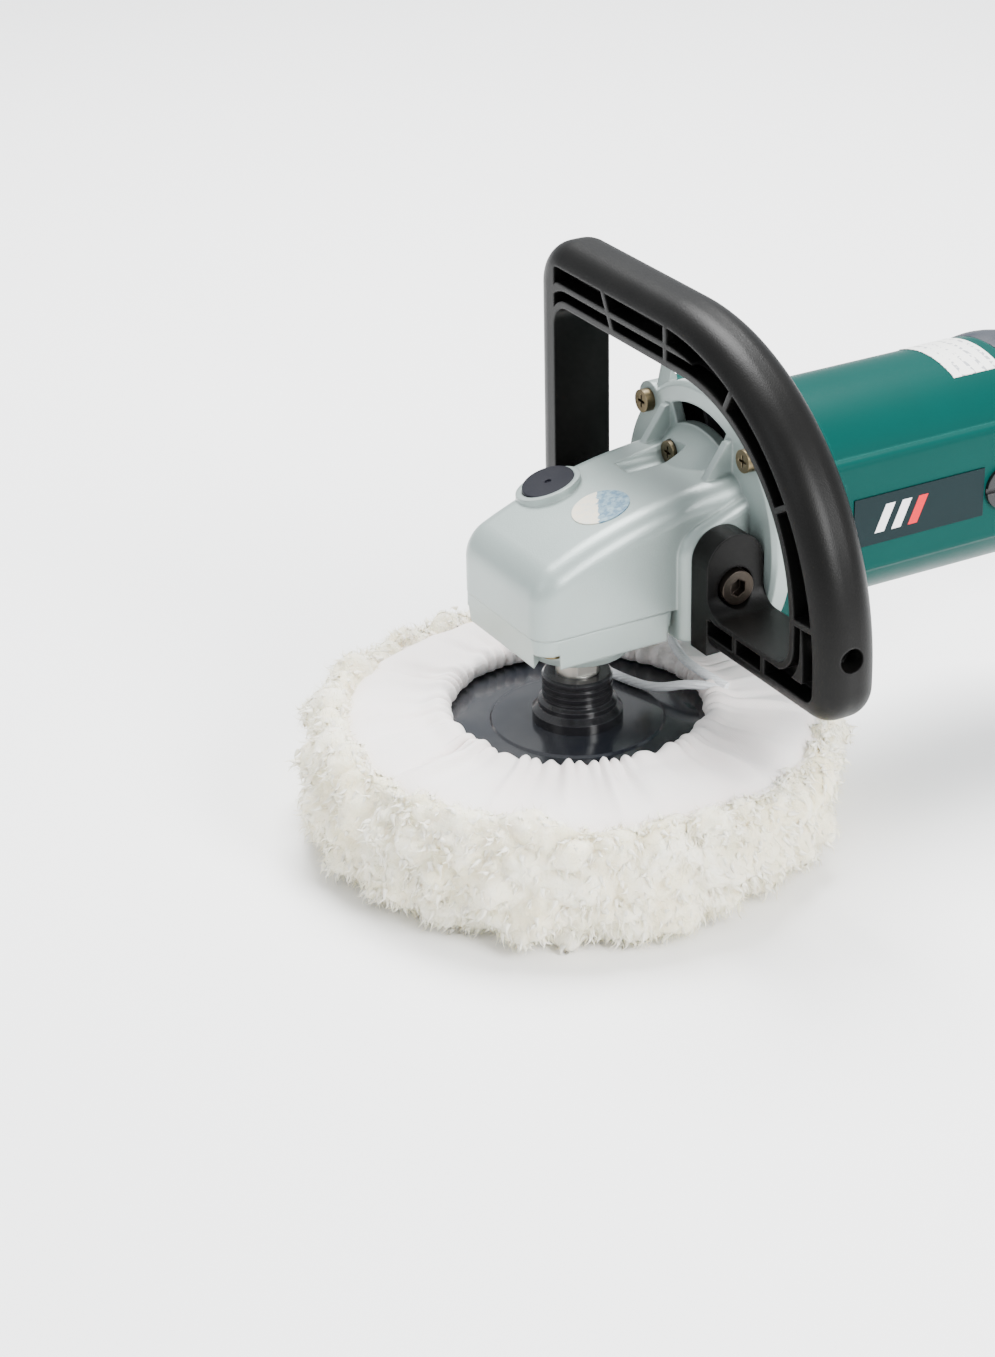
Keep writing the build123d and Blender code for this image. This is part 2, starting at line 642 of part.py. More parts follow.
def shaft_lock_button():
    """Push cap with a sloping top, hollow below over its spring."""
    low = lock_floor() + LOCK_TRAVEL + 1
    cap = cyl(LOCK_CAP_R, low, roof_height(LOCK_X) + 20, LOCK_X, LOCK_Y) & lock_slope(2.2)
    cap -= cyl(4.6, low - 1, low + 2.5, LOCK_X, LOCK_Y + 2.5)
    grip = cyl(1.2, low + 3, roof_height(LOCK_X) + 20, LOCK_X, LOCK_Y) - lock_slope(1.5)
    return cap - grip


def shaft_lock_pin():
    """Pin that the button pushes into the gear."""
    x, y = lock_pin_place()
    return cyl(LOCK_PIN_R, WEB_TOP + 0.8, lock_floor() + LOCK_TRAVEL + 1, x, y)


def shaft_lock_spring():
    """Return spring under the button."""
    low = lock_floor()
    length = LOCK_TRAVEL + 3.5 - 1.0
    return Pos(LOCK_X, LOCK_Y + 2.5, low + 0.5) * coil_spring(3.4, 0.9, length, 3)


def round_sticker():
    """Thin round sticker that follows the roof."""
    disc = cyl(STICKER_R, SPLIT_Z, SPLIT_Z + 60, STICKER_X, STICKER_Y)
    above = side_plate(nose_outline(STICKER_T), -NOSE_HALF, NOSE_HALF)
    return (disc & above) - side_plate(nose_outline(), -NOSE_HALF - 1, NOSE_HALF + 1)


def bearing_box():
    """Cover under the gear housing: a round boss with the lower spindle bearing."""
    rear, front = BOX_REAR, NOSE_FRONT - 0.3
    width = 2 * (NOSE_HALF + 0.2)
    plan = Pos((rear - front) / 2, 0, 0) * RectangleRounded(rear + front, width, 3)
    body = extrude(Plane.XY.offset(SPLIT_Z) * plan, -BOX_H, taper=math.degrees(math.atan(BOX_DRAFT / BOX_H)))
    lower = SPLIT_Z - BOX_H
    body = body & corner_mask(front)
    boss = turned([(0, BOX_Z), (BOSS_R - 4, BOX_Z), (BOSS_R - 1.2, BOX_Z + 1.2), (BOSS_R, BOX_Z + 4),
                   (BOSS_R, lower + 1), (0, lower + 1)])
    body += boss
    body -= cyl(BEARING_OUT, BEARING_Z, SPLIT_Z + 1)
    body -= cyl(NECK_R + 3.5, BOX_Z - 1, BEARING_Z + 1)
    body -= cyl(BEARING_OUT + 1, BEARING_Z + BEARING_W, SPLIT_Z + 1)
    for sx in (-1, 1):
        for sy in (-1, 1):
            x, y = case_screw_x(sx), sy * CASE_SCREW_Y
            head = SPLIT_Z - 6
            body -= cyl(SCREW_R + LOOSE, head - 1, SPLIT_Z + 1, x, y)
            body -= cyl(SCREW_HEAD_R + 0.3, lower - 12, head, x, y)
            out = Box(12, 2 * (SCREW_HEAD_R + 0.3), head - lower + 12,
                      align=(Align.MIN, Align.CENTER, Align.MIN))
            body -= Pos(x, y, lower - 12) * Rot(0, 0, math.degrees(math.atan2(sy, sx))) * out
    return body


def corner_mask(front):
    """Rounds the box's front corners as the nose above is rounded."""
    half = NOSE_HALF + 0.2
    size = BOX_REAR + front
    plan = Pos((BOX_REAR - front) / 2, 0, 0) * RectangleRounded(size, 2 * half, CORNER_R)
    plan += Pos(BOX_REAR - CORNER_R, 0, 0) * Rectangle(2 * CORNER_R, 2 * half)
    return extrude(Plane.XY.offset(BOX_Z) * plan, SPLIT_Z - BOX_Z)


def pan_screw(length):
    """Pan-head screw along Z, head downwards, with a cross recess."""
    screw = cyl(SCREW_HEAD_R, -SCREW_HEAD_T, 0) + cyl(SCREW_R - 0.05, 0, length)
    for turn in (0, 90):
        screw -= Rot(0, 0, turn) * block(-2.4, 2.4, -0.5, 0.5, -SCREW_HEAD_T - 1, -SCREW_HEAD_T + 1.6)
    return screw


def bearing_box_screws():
    """Four screws up into the gear housing."""
    return [Pos(case_screw_x(sx), sy * CASE_SCREW_Y, SPLIT_Z - 6) * pan_screw(16)
            for sx in (-1, 1) for sy in (-1, 1)]


def gear_housing_screws():
    """Four screws through the flange into the motor housing."""
    return [Pos(FLANGE_X, y, z) * Rot(0, 90, 0) * pan_screw(FLANGE_T + FLARE_L)
            for y, z in flange_screw_places()]


def bearing_cover_screw():
    """Screw at the end of the trough in the roof."""
    return Pos(COVER_SCREW_X, COVER_SCREW_Y, AXIS_Z + COVER_SCREW_Z) * Rot(0, 90, 0) * pan_screw(6)


def bearing_retainer():
    """Threaded ring over the lower bearing."""
    low = BEARING_Z + BEARING_W
    return cyl(BEARING_OUT + 1, low, low + 3) - cyl(BEARING_OUT - 3.5, low - 1, low + 4)


def dust_seal():
    """Felt ring around the spindle neck."""
    low, high = BOX_Z + 1, BEARING_Z
    return cyl(NECK_R + 3.5, low, high) - cyl(NECK_R + SLIDE, low - 1, high + 1)


def upper_needle_bearing():
    """Needle bearing sleeve at the top of the spindle."""
    sleeve = cyl(NEEDLE_OUT, NEEDLE_Z, NEEDLE_Z + NEEDLE_L)
    return sleeve - cyl(NEEDLE_SHAFT + RUN, NEEDLE_Z - 1, NEEDLE_Z + NEEDLE_L + 1)


def front_bearing_retainer():
    """Plate that holds the front motor bearing in the gear housing."""
    x0 = FRONT_BEARING_X + BEARING_W
    return cyl_x(BEARING_OUT + 4, x0, x0 + 2.5) - cyl_x(BEARING_OUT - 4.5, x0 - 1, x0 + 4)


# ------------------------------------------------------------------ rotor
def pinion():
    """Bevel pinion on the front end of the armature shaft."""
    near = 1 - FACE_W / CONE
    outer_r, outer_d = root_cone(PINION_R, GEAR_R, 1 + TOOTH_LEDGE)
    inner_r, inner_d = root_cone(PINION_R, GEAR_R, near - TOOTH_LEDGE)
    back = FRONT_BEARING_X - 0.3
    blank = turned_x([(inner_d, 0), (inner_d, inner_r), (outer_d, outer_r), (outer_d + 0.8, outer_r + 1.6),
                      (back, outer_r + 1.6), (back, 0)])
    tooth = bevel_tooth(PINION_R, GEAR_R, TOOTH_MID - 0.62, TOOTH_MID + 0.35)
    stand = Pos(0, 0, AXIS_Z) * Rot(0, -90, 0)
    blank += [stand * Rot(0, 0, 360 * n / PINION_TEETH) * tooth for n in range(PINION_TEETH)]
    return blank - cyl_x(3.0, GEAR_R - 2.5, back + 1)


def armature_shaft():
    """Shaft through both motor bearings."""
    front = FRONT_BEARING_X
    rear = MOTOR_END
    return turned_x([
        (GEAR_R - 2.5, 0), (GEAR_R - 2.5, 3.0), (front - 0.3, 3.0), (front - 0.3, BEARING_BORE),
        (front + BEARING_W, BEARING_BORE), (front + BEARING_W, BEARING_BORE + 1), (rear - 2, BEARING_BORE + 1),
        (rear - 2, REAR_BORE), (rear + REAR_W + 1, REAR_BORE), (rear + REAR_W + 1, 0),
    ])


def rotor_bore(x0, x1):
    """Hole for the armature shaft."""
    return cyl_x(BEARING_BORE + 1, x0 - 1, x1 + 1)


def armature_core():
    """Slotted lamination stack."""
    core = cyl_x(CORE_R, CORE_X, CORE_X + CORE_L) - rotor_bore(CORE_X, CORE_X + CORE_L)
    slot = block(CORE_X - 1, CORE_X + CORE_L + 1, -1, 1, CORE_R - 1.6, CORE_R + 1)
    for n in range(12):
        core -= Pos(0, 0, AXIS_Z) * Rot(30 * n, 0, 0) * slot
    return core


def armature_windings():
    """Bundles of wire at both ends of the lamination stack."""
    ends = []
    for x0, x1 in ((CORE_X - COIL_L, CORE_X), (CORE_X + CORE_L, CORE_X + CORE_L + COIL_L)):
        bundle = cyl_x(CORE_R - 3, x0, x1) - rotor_bore(x0, x1)
        ends.append(fillet(bundle.edges().filter_by(GeomType.CIRCLE).group_by(
            lambda edge: edge.radius)[-1], 2.5).solid())
    return ends


def commutator():
    """Copper segments, parted by narrow slots."""
    x0 = BRUSH_X - COMM_L / 2
    drum = cyl_x(COMM_R, x0, x0 + COMM_L) - rotor_bore(x0, x0 + COMM_L)
    slot = block(x0 - 1, x0 + COMM_L + 1, -0.3, 0.3, COMM_R - 0.8, COMM_R + 1)
    for n in range(24):
        drum -= Pos(0, 0, AXIS_Z) * Rot(15 * n, 0, 0) * slot
    return drum


def cooling_fan():
    """Centrifugal fan with straight blades on a back plate."""
    x0 = MOTOR_X + 4
    fan = cyl_x(FAN_R, x0 + FAN_L - 2, x0 + FAN_L) + cyl_x(13, x0, x0 + FAN_L)
    blade = block(x0, x0 + FAN_L - 1, -1, 1, 11, FAN_R - 0.5)
    fan += [Pos(0, 0, AXIS_Z) * Rot(360 * n / FAN_BLADES, 0, 0) * blade for n in range(FAN_BLADES)]
    return fan - rotor_bore(x0, x0 + FAN_L)


# ------------------------------------------------------------------ motor
def motor_section(inset):
    """Round section with two flat side panels."""
    circle = Circle(MOTOR_R - inset) & Rectangle(2 * (MOTOR_HALF - inset), 3 * MOTOR_R)
    height = PANEL_LOW + PANEL_HIGH - 2 * inset
    panel = Pos(0, (PANEL_HIGH - PANEL_LOW) / 2) * RectangleRounded(2 * (MOTOR_HALF - inset), height, 3)
    return circle + panel


def motor_housing():
    """Moulded motor housing: flared fan chamber, barrel with flat sides, end wall and neck."""
    x0, x1 = MOTOR_X, MOTOR_END
    flare = x0 + FLARE_L
    body = extrude(along(x0) * motor_section(0), x1 - x0)
    body += turned_x([(x0, 0), (x0, FLARE_R), (flare, FLARE_R), (flare + FLARE_TAPER, MOTOR_R - 1),
                      (flare + FLARE_TAPER, 0)])
    for y, z in flange_screw_places():
        body += cyl_x(LUG_R, x0, flare + 2, y, z)
    body += cyl_x(REAR_NECK_R, x1, x1 + REAR_NECK_L)

    body -= extrude(along(flare) * motor_section(SHELL), x1 - 4 - flare)
    body -= cyl_x(FLARE_R - 3.5, x0 - 1, flare + 3)
    body -= cyl_x(REAR_OUT, x1, x1 + REAR_NECK_L + 1)
    body -= cyl_x(BEARING_BORE + 2.5, x1 - 5, x1 + 1)
    for n in range(6):
        window = cyl_x(4.5, x1 - 5, x1 + 1, 0, 0)
        turn = math.radians(30 + 60 * n)
        body -= Pos(0, 33 * math.cos(turn), AXIS_Z + 33 * math.sin(turn)) * window
    for y, z in flange_screw_places():
        body -= cyl_x(SCREW_R, x0 - 1, flare, y, z)
    body -= cyl_y(BRUSH_CAP_R - 1.6, -MOTOR_HALF - 5, MOTOR_HALF + 5, BRUSH_X, AXIS_Z)
    return body


def fan_baffle():
    """Ring that guides the air into the fan."""
    x0 = MOTOR_X + FLARE_L + 0.6
    return cyl_x(FLARE_R - 3.6, x0, x0 + 2.4) - cyl_x(22, x0 - 1, x0 + 4)


def stator_core():
    """Field lamination stack with flat sides."""
    stack = extrude(along(CORE_X) * motor_section(SHELL + 0.1), CORE_L)
    return stack - cyl_x(CORE_R + AIR_GAP, CORE_X - 1, CORE_X + CORE_L + 1)


def field_coils():
    """End turns of the two field coils, above and below the armature."""
    turns = []
    for x0 in (CORE_X - COIL_L, CORE_X + CORE_L):
        ring = cyl_x(36, x0, x0 + COIL_L) - cyl_x(CORE_R + 1.5, x0 - 1, x0 + COIL_L + 1)
        for z0, z1 in ((AXIS_Z + 7, AXIS_Z + 40), (AXIS_Z - 40, AXIS_Z - 7)):
            turns.append((ring & block(x0, x0 + COIL_L, -33, 33, z0, z1)).solid())
    return turns


def mirrored(piece):
    """The piece and its mirror image on the other side of the machine."""
    return [piece.solid(), piece.mirror(Plane.XZ).solid()]


def brush_holder():
    """Brass guide for one carbon brush."""
    w, h = BRUSH_W / 2, BRUSH_H / 2
    y0, y1 = COMM_R + 2, MOTOR_HALF - SHELL - 1
    tube = block(BRUSH_X - w - 1.2, BRUSH_X + w + 1.2, y0, y1, AXIS_Z - h - 1.2, AXIS_Z + h + 1.2)
    return tube - block(BRUSH_X - w - SLIDE, BRUSH_X + w + SLIDE, y0 - 1, y1 + 1,
                        AXIS_Z - h - SLIDE, AXIS_Z + h + SLIDE)


def carbon_brush():
    """Carbon block just off the commutator."""
    w, h = BRUSH_W / 2, BRUSH_H / 2
    y0 = COMM_R + GAP
    return block(BRUSH_X - w, BRUSH_X + w, y0, y0 + 12, AXIS_Z - h, AXIS_Z + h)


def brush_spring():
    """Spring behind one brush."""
    y0 = COMM_R + GAP + 12.6
    length = MOTOR_HALF - SHELL - 1.5 - y0
    return Pos(BRUSH_X, y0, AXIS_Z) * Rot(-90, 0, 0) * coil_spring(2.3, 0.7, length, 4)


def brush_cap():
    """Slotted screw cap over one brush."""
    cap = cyl_y(BRUSH_CAP_R, MOTOR_HALF, MOTOR_HALF + 1.6, BRUSH_X, AXIS_Z)
    cap += cyl_y(BRUSH_CAP_R - 1.7, MOTOR_HALF - SHELL, MOTOR_HALF + 1, BRUSH_X, AXIS_Z)
    return cap - block(BRUSH_X - BRUSH_CAP_R, BRUSH_X + BRUSH_CAP_R, MOTOR_HALF + 0.6, MOTOR_HALF + 3,
                       AXIS_Z - 1, AXIS_Z + 1)


def side_label():
    """Dark nameplate on one flat side, left blank."""
    return block(96, BRUSH_X - BRUSH_CAP_R - 1, MOTOR_HALF, MOTOR_HALF + LABEL_T, AXIS_Z - 9.7, AXIS_Z + 9.8)


def top_label():
    """Blank white label, bent over the top of the barrel."""
    x0, x1 = MOTOR_END - 27, MOTOR_END - 5
    ring = cyl_x(MOTOR_R + 0.3, x0, x1) - cyl_x(MOTOR_R, x0 - 1, x1 + 1)
    return ring & block(x0, x1, -17.4, 17.4, AXIS_Z, AXIS_Z + MOTOR_R + 5)


# ------------------------------------------------------------------ loop handle
def loop_face():
    """Plane of the loop's front face, drawn in Y and Z."""
    return Plane(origin=(LOOP_X, 0, 0), x_dir=(0, 1, 0), z_dir=(1, 0, 0))


def loop_outline():
    """Outside of the loop: far leg, top, one big arch and the near foot."""
    centre_z = LOOP_TOP - ARCH_R
    near = ARCH_Y - ARCH_R
    foot = FOOT_R
    c = math.sqrt(0.5)
    corner = FAR_CORNER_R
    return [
        Line((FAR_Y, LOOP_LOW + foot), (FAR_Y, LOOP_TOP - corner)),
        ThreePointArc((FAR_Y, LOOP_TOP - corner), (FAR_Y - corner * (1 - c), LOOP_TOP - corner * (1 - c)),
                      (FAR_Y - corner, LOOP_TOP)),
        Line((FAR_Y - corner, LOOP_TOP), (ARCH_Y, LOOP_TOP)),
        ThreePointArc((ARCH_Y, LOOP_TOP), (ARCH_Y - ARCH_R * c, centre_z + ARCH_R * c), (near, centre_z)),
        Line((near, centre_z), (near, LOOP_LOW + foot)),
        ThreePointArc((near, LOOP_LOW + foot), (near + foot * (1 - c), LOOP_LOW + foot * (1 - c)),
                      (near + foot, LOOP_LOW)),
        Line((near + foot, LOOP_LOW), (FAR_Y - foot, LOOP_LOW)),
        ThreePointArc((FAR_Y - foot, LOOP_LOW), (FAR_Y - foot * (1 - c), LOOP_LOW + foot * (1 - c)),
                      (FAR_Y, LOOP_LOW + foot)),
    ]


def hand_outline():
    """Inside of the loop, open downwards between the two brackets."""
    centre_z = HAND_TOP - HAND_R
    near = HAND_Y - HAND_R
    far = FAR_Y - FAR_LEG
    arm = LOOP_LOW + ARM_H
    root = BLOCK_HALF + BRACKET_T
    c = math.sqrt(0.5)
    r = 9.0
    return [
        Line((-root, LOOP_LOW - 10), (-root, arm + r)),
        ThreePointArc((-root, arm + r), (-root - r * (1 - c), arm + r * (1 - c)), (-root - r, arm)),
        Line((-root - r, arm), (near + r, arm)),
        ThreePointArc((near + r, arm), (near + r * (1 - c), arm + r * (1 - c)), (near, arm + r)),
        Line((near, arm + r), (near, centre_z)),
        ThreePointArc((near, centre_z), (HAND_Y - HAND_R * c, centre_z + HAND_R * c), (HAND_Y, HAND_TOP)),
        Line((HAND_Y, HAND_TOP), (far - r, HAND_TOP)),
        ThreePointArc((far - r, HAND_TOP), (far - r * (1 - c), HAND_TOP - r * (1 - c)), (far, HAND_TOP - r)),
        Line((far, HAND_TOP - r), (far, arm + r)),
        ThreePointArc((far, arm + r), (far - r * (1 - c), arm + r * (1 - c)), (far - r, arm)),
        Line((far - r, arm), (root + 2, arm)),
        Line((root + 2, arm), (root, arm + 2)),
        Line((root, arm + 2), (root, LOOP_LOW - 10)),
        Line((root, LOOP_LOW - 10), (-root, LOOP_LOW - 10)),
    ]


def rib_lines():
    """Ribs across the pockets, as a point on the arch and a direction from the hand space."""
    centre = (HAND_Y + 8, HAND_TOP - HAND_R)
    return [(centre, angle) for angle in (62, 88, 118, 149, 177)]


def loop_pockets():
    """Two rows of long pockets sunk in the front face, parted by ribs."""
    outer, hand = make_face(loop_outline()), make_face(hand_outline())
    rows = offset(outer, -POCKET_RIM) - offset(outer, -POCKET_RIM - OUTER_POCKET)
    rows += offset(hand, POCKET_EDGE + INNER_POCKET) - offset(hand, POCKET_EDGE)
    rows &= offset(outer, -POCKET_RIM)
    arm_zone = Pos(-72, LOOP_LOW + ARM_H / 2) * Rectangle(56, ARM_H)
    top_zone = Pos(-30, 150) * Rectangle(185, 110)
    grip_zone = Pos(-100, 110) * Rectangle(40, 60)
    rows &= top_zone + arm_zone + grip_zone
    for (y, z), angle in rib_lines():
        turn = math.radians(angle)
        rows -= Pos(y + 80 * math.cos(turn), z + 80 * math.sin(turn)) * Rot(0, 0, angle) * Rectangle(120, RIB)
    for y in (-62, -80):
        rows -= Pos(y, LOOP_LOW + ARM_H / 2) * Rectangle(RIB, ARM_H)
    return extrude(loop_face() * rows, POCKET_DEPTH)


def bracket(side):
    """Ear of the loop handle against the side of the gear housing."""
    y0, y1 = sorted((side * (BLOCK_HALF + 0.05), side * (BLOCK_HALF + BRACKET_T + 0.5)))
    ear = block(LOOP_X, LOOP_X + BRACKET_L, y0, y1, LOOP_LOW, AXIS_Z)
    ear += cyl_y(BRACKET_L / 2, y0, y1, BRACKET_X, AXIS_Z)
    return ear


def loop_handle():
    """Moulded loop handle: rounded outside, pocketed in front, with two ears."""
    body = extrude(loop_face() * make_face(loop_outline()), LOOP_DEPTH)
    rims = [edge for edge in body.edges() if abs(edge.bounding_box().size.X) < 0.01]
    body = fillet(rims, LOOP_ROUND)
    body -= extrude(loop_face().offset(-1) * make_face(hand_outline()), LOOP_DEPTH + 2)
    body -= loop_pockets()
    for side in (-1, 1):
        body += bracket(side)
        inner, seat, outer = BLOCK_HALF - 1, BLOCK_HALF + BRACKET_T - BOLT_RECESS, BLOCK_HALF + BRACKET_T + 12
        body -= cyl_y(BOLT_R + 0.2, *sorted((side * inner, side * outer)), BRACKET_X, BOLT_Z)
        body -= cyl_y(BOLT_HEAD_R + 1, *sorted((side * seat, side * outer)), BRACKET_X, BOLT_Z)
        body -= cyl_x(SCREW_HEAD_R + 0.6, FLANGE_X - 10, FLANGE_X + 1, side * FLANGE_SCREW_Y,
                      AXIS_Z - FLANGE_SCREW_Z)
    near = ARCH_Y - ARCH_R
    return body - cyl_y(GRIP_HOLE_R, near - 1, near + 9, LOOP_X + 11, AXIS_Z - 6.7)


def loop_handle_bolt():
    """Socket screw through one ear."""
    seat = BLOCK_HALF + BRACKET_T - BOLT_RECESS
    bolt = cyl_y(BOLT_HEAD_R, seat, seat + BOLT_HEAD_T, BRACKET_X, BOLT_Z)
    bolt += cyl_y(BOLT_R - 0.05, BLOCK_HALF - BOLT_GRIP + 1, seat + 1, BRACKET_X, BOLT_Z)
    hexagon = Plane(origin=(BRACKET_X, seat + BOLT_HEAD_T, BOLT_Z), z_dir=(0, 1, 0)) * RegularPolygon(3.5, 6)
    return bolt - extrude(hexagon, -3.5)


# ------------------------------------------------------------------ tail handle
def tail_stations():
    """Sections of the tail handle: distance behind the seam, width, height and drop."""
    collar = 2 * MOTOR_R - 0.6
    return [
        (0, collar, collar, 0),
        (18, collar - 3, collar - 1, 0.5),
        (52, GRIP_W + 9, GRIP_H + 13, 0.6 * GRIP_DROP),
        (80, GRIP_W + 1, GRIP_H + 2, GRIP_DROP),
        (150, GRIP_W - 1, GRIP_H - 1, GRIP_DROP),
        (224, GRIP_W + 2, GRIP_H + 2, GRIP_DROP),
        (TAIL_L, GRIP_W - 3, GRIP_H - 5, GRIP_DROP),
    ]


def tail_body(inset, start, end):
    """Loft through the stations, drawn in by an inset and cut to length."""
    sections = []
    for x, width, height, drop in tail_stations():
        w, h = width - 2 * inset, height - 2 * inset
        shape = RectangleRounded(w, h, min(w, h) / 2 - 1.2)
        sections.append(along(TAIL_X + x) * (Pos(0, -drop) * shape))
    return loft(sections) & block(start, end, -60, 60, 0, 200)


def tail_cuts():
    """Openings shared by both halves: vents, trigger, dial, pin and gland."""
    top = GRIP_Z + GRIP_H / 2
    cuts = block(TRIGGER_X - 1, TRIGGER_X + TRIGGER_L + 1, -TRIGGER_W / 2 - GAP, TRIGGER_W / 2 + GAP,
                 GRIP_Z - GRIP_H, GRIP_Z - 8)
    cuts += block(DIAL_X - DIAL_R - 0.5, DIAL_X + DIAL_R + 0.5, -DIAL_T / 2 - GAP, DIAL_T / 2 + GAP,
                  GRIP_Z + 8, top + 10)
    cuts += cyl_y(LOCK_ON_R + SLIDE, -GRIP_W, 0, LOCK_ON_X, GRIP_Z - 6)
    cuts += cyl_x(GLAND_R + 0.05, TAIL_END - 10, TAIL_END + 5, 0, GRIP_Z)
    cuts += cyl_x(REAR_NECK_R + 0.05, TAIL_X - 1, TAIL_X + REAR_NECK_L + 1)
    x, z = trigger_pivot()
    cuts += cyl_y(TRIGGER_PIN_R, -TRIGGER_PIN_L / 2, TRIGGER_PIN_L / 2, x, z)
    for n in range(6):
        x = TAIL_X + 12 + 6 * n
        cuts += block(x, x + 2.6, -60, 60, AXIS_Z - 14, AXIS_Z + 14)
    return cuts


TAIL_SCREWS = [(24, 28), (60, -22), (138, 16), (205, -14)]


def tail_screw_posts():
    """Posts inside the halves that the screws draw together."""
    posts = [cyl_y(4.2, -60, 60, TAIL_X + x, GRIP_Z + up) for x, up in TAIL_SCREWS]
    return posts


def tail_shell():
    """The whole hollow tail handle with its posts and openings, before it is parted."""
    outer = tail_body(0, TAIL_X, TAIL_END)
    inner = tail_body(TAIL_WALL, TAIL_X + 4, TAIL_END - 4)
    shell = outer - inner
    for post in tail_screw_posts():
        shell += post & outer
    shell -= tail_cuts()
    for x, up in TAIL_SCREWS:
        shell -= cyl_y(1.6, -60, 60, TAIL_X + x, GRIP_Z + up)
        shell -= cyl_y(3.2, -60, -12, TAIL_X + x, GRIP_Z + up)
    return shell


def tail_half(shell, y0, y1):
    """One half of the tail handle, parted at the middle plane."""
    half = shell & block(TAIL_X - 1, TAIL_END + 1, y0, y1, 0, 200)
    return max(half.solids(), key=lambda solid: solid.volume)


def tail_handle_screws():
    """Screws from the left half into the right."""
    screws = []
    for x, up in TAIL_SCREWS:
        screw = cyl_y(3.0, -14.5, -12, TAIL_X + x, GRIP_Z + up)
        screw += cyl_y(1.55, -12, 10, TAIL_X + x, GRIP_Z + up)
        screws.append(screw.solid())
    return screws


def trigger():
    """Curved finger lever under the grip, hung on its pin."""
    x0, x1 = TRIGGER_X, TRIGGER_X + TRIGGER_L
    low = GRIP_Z - GRIP_H / 2
    outline = [
        Line((x0, low - 1), (x0, low + 9)),
        Line((x0, low + 9), (x1, low + 9)),
        Line((x1, low + 9), (x1, low - TRIGGER_OUT + 4)),
        Spline((x1, low - TRIGGER_OUT + 4), (x1 - 8, low - TRIGGER_OUT), (x0 + 24, low - TRIGGER_OUT + 1.5),
               (x0, low - 1)),
    ]
    lever = side_plate(outline, -TRIGGER_W / 2, TRIGGER_W / 2)
    x, z = trigger_pivot()
    return lever - cyl_y(TRIGGER_PIN_R + RUN, -20, 20, x, z)


def trigger_pivot():
    """Centre of the trigger's pin."""
    return TRIGGER_X + 5, GRIP_Z - GRIP_H / 2 + 5


def trigger_pin():
    """Cross pin that carries the trigger."""
    x, z = trigger_pivot()
    return cyl_y(TRIGGER_PIN_R, -TRIGGER_PIN_L / 2, TRIGGER_PIN_L / 2, x, z)


def switch_body():
    """Switch above the trigger."""
    x0 = TRIGGER_X + 8
    low = GRIP_Z - GRIP_H / 2 + 17.5
    return block(x0, x0 + SWITCH_L, -SWITCH_W / 2, SWITCH_W / 2, low, low + SWITCH_H)


def lock_on_button():
    """Side button that holds the trigger in."""
    out = -GRIP_W / 2 - LOCK_ON_OUT + 0.8
    stem = cyl_y(LOCK_ON_R, out, -GRIP_W / 2 + 9, LOCK_ON_X, GRIP_Z - 6)
    return stem + cyl_y(LOCK_ON_R + 1.5, -GRIP_W / 2 + 6, -GRIP_W / 2 + 8, LOCK_ON_X, GRIP_Z - 6)


def dial_centre():
    """Height of the speed dial's axle."""
    return GRIP_Z + GRIP_H / 2 + DIAL_OUT - DIAL_R


def speed_dial():
    """Thumb wheel with a knurled rim, on two stub axles."""
    z = dial_centre()
    wheel = cyl_y(DIAL_R, -DIAL_T / 2, DIAL_T / 2, DIAL_X, z)
    notch = cyl_y(0.7, -DIAL_T / 2 - 1, DIAL_T / 2 + 1, DIAL_R + 0.2, 0)
    for n in range(24):
        wheel -= Pos(DIAL_X, 0, z) * Rot(0, 15 * n, 0) * notch
    return wheel + cyl_y(1.5, -DIAL_T / 2 - 2.4, DIAL_T / 2 + 2.4, DIAL_X, z)


def speed_controller():
    """Electronic speed control, with two ears for the dial."""
    z = dial_centre()
    box = block(DIAL_X - 24, DIAL_X + 10, -12, 12, z - DIAL_R - 11, z - DIAL_R - 2)
    for side in (-1, 1):
        y0, y1 = sorted((side * (DIAL_T / 2 + GAP + 0.2), side * (DIAL_T / 2 + 2.6)))
        box += block(DIAL_X - 4, DIAL_X + 4, y0, y1, z - DIAL_R - 3, z + 3)
    return box - cyl_y(1.5 + RUN, -10, 10, DIAL_X, z)


def cord_gland():
    """Ring in the tail that the power cord would pass through."""
    gland = cyl_x(GLAND_R, TAIL_END - 8, TAIL_END + 1, 0, GRIP_Z)
    gland += cyl_x(GLAND_FLANGE_R, TAIL_END, TAIL_END + GLAND_L - 8, 0, GRIP_Z)
    return gland - cyl_x(GLAND_BORE, TAIL_END - 9, TAIL_END + GLAND_L, 0, GRIP_Z)


# ------------------------------------------------------------------ the assembly
def at_z(shapes, height):
    """Moves shapes up to a height."""
    return [(Pos(0, 0, height) * shape).solid() for shape in shapes]


def at_x(shapes, x):
    """Turns upright shapes onto the motor axis and moves them to x."""
    return [(Pos(x, 0, AXIS_Z) * Rot(0, 90, 0) * shape).solid() for shape in shapes]


save("wool_bonnet", wool_bonnet())
save("bonnet_cloth", bonnet_cloth())
save("drawstring", drawstring())
save("backing_pad", backing_pad())
save("pad_hub", pad_hub())
save("pad_washer", pad_washer())
save("pad_nut", pad_nut())
save("spindle", spindle())
save("bevel_gear", bevel_gear())
save("gear_retaining_ring", gear_retaining_ring())

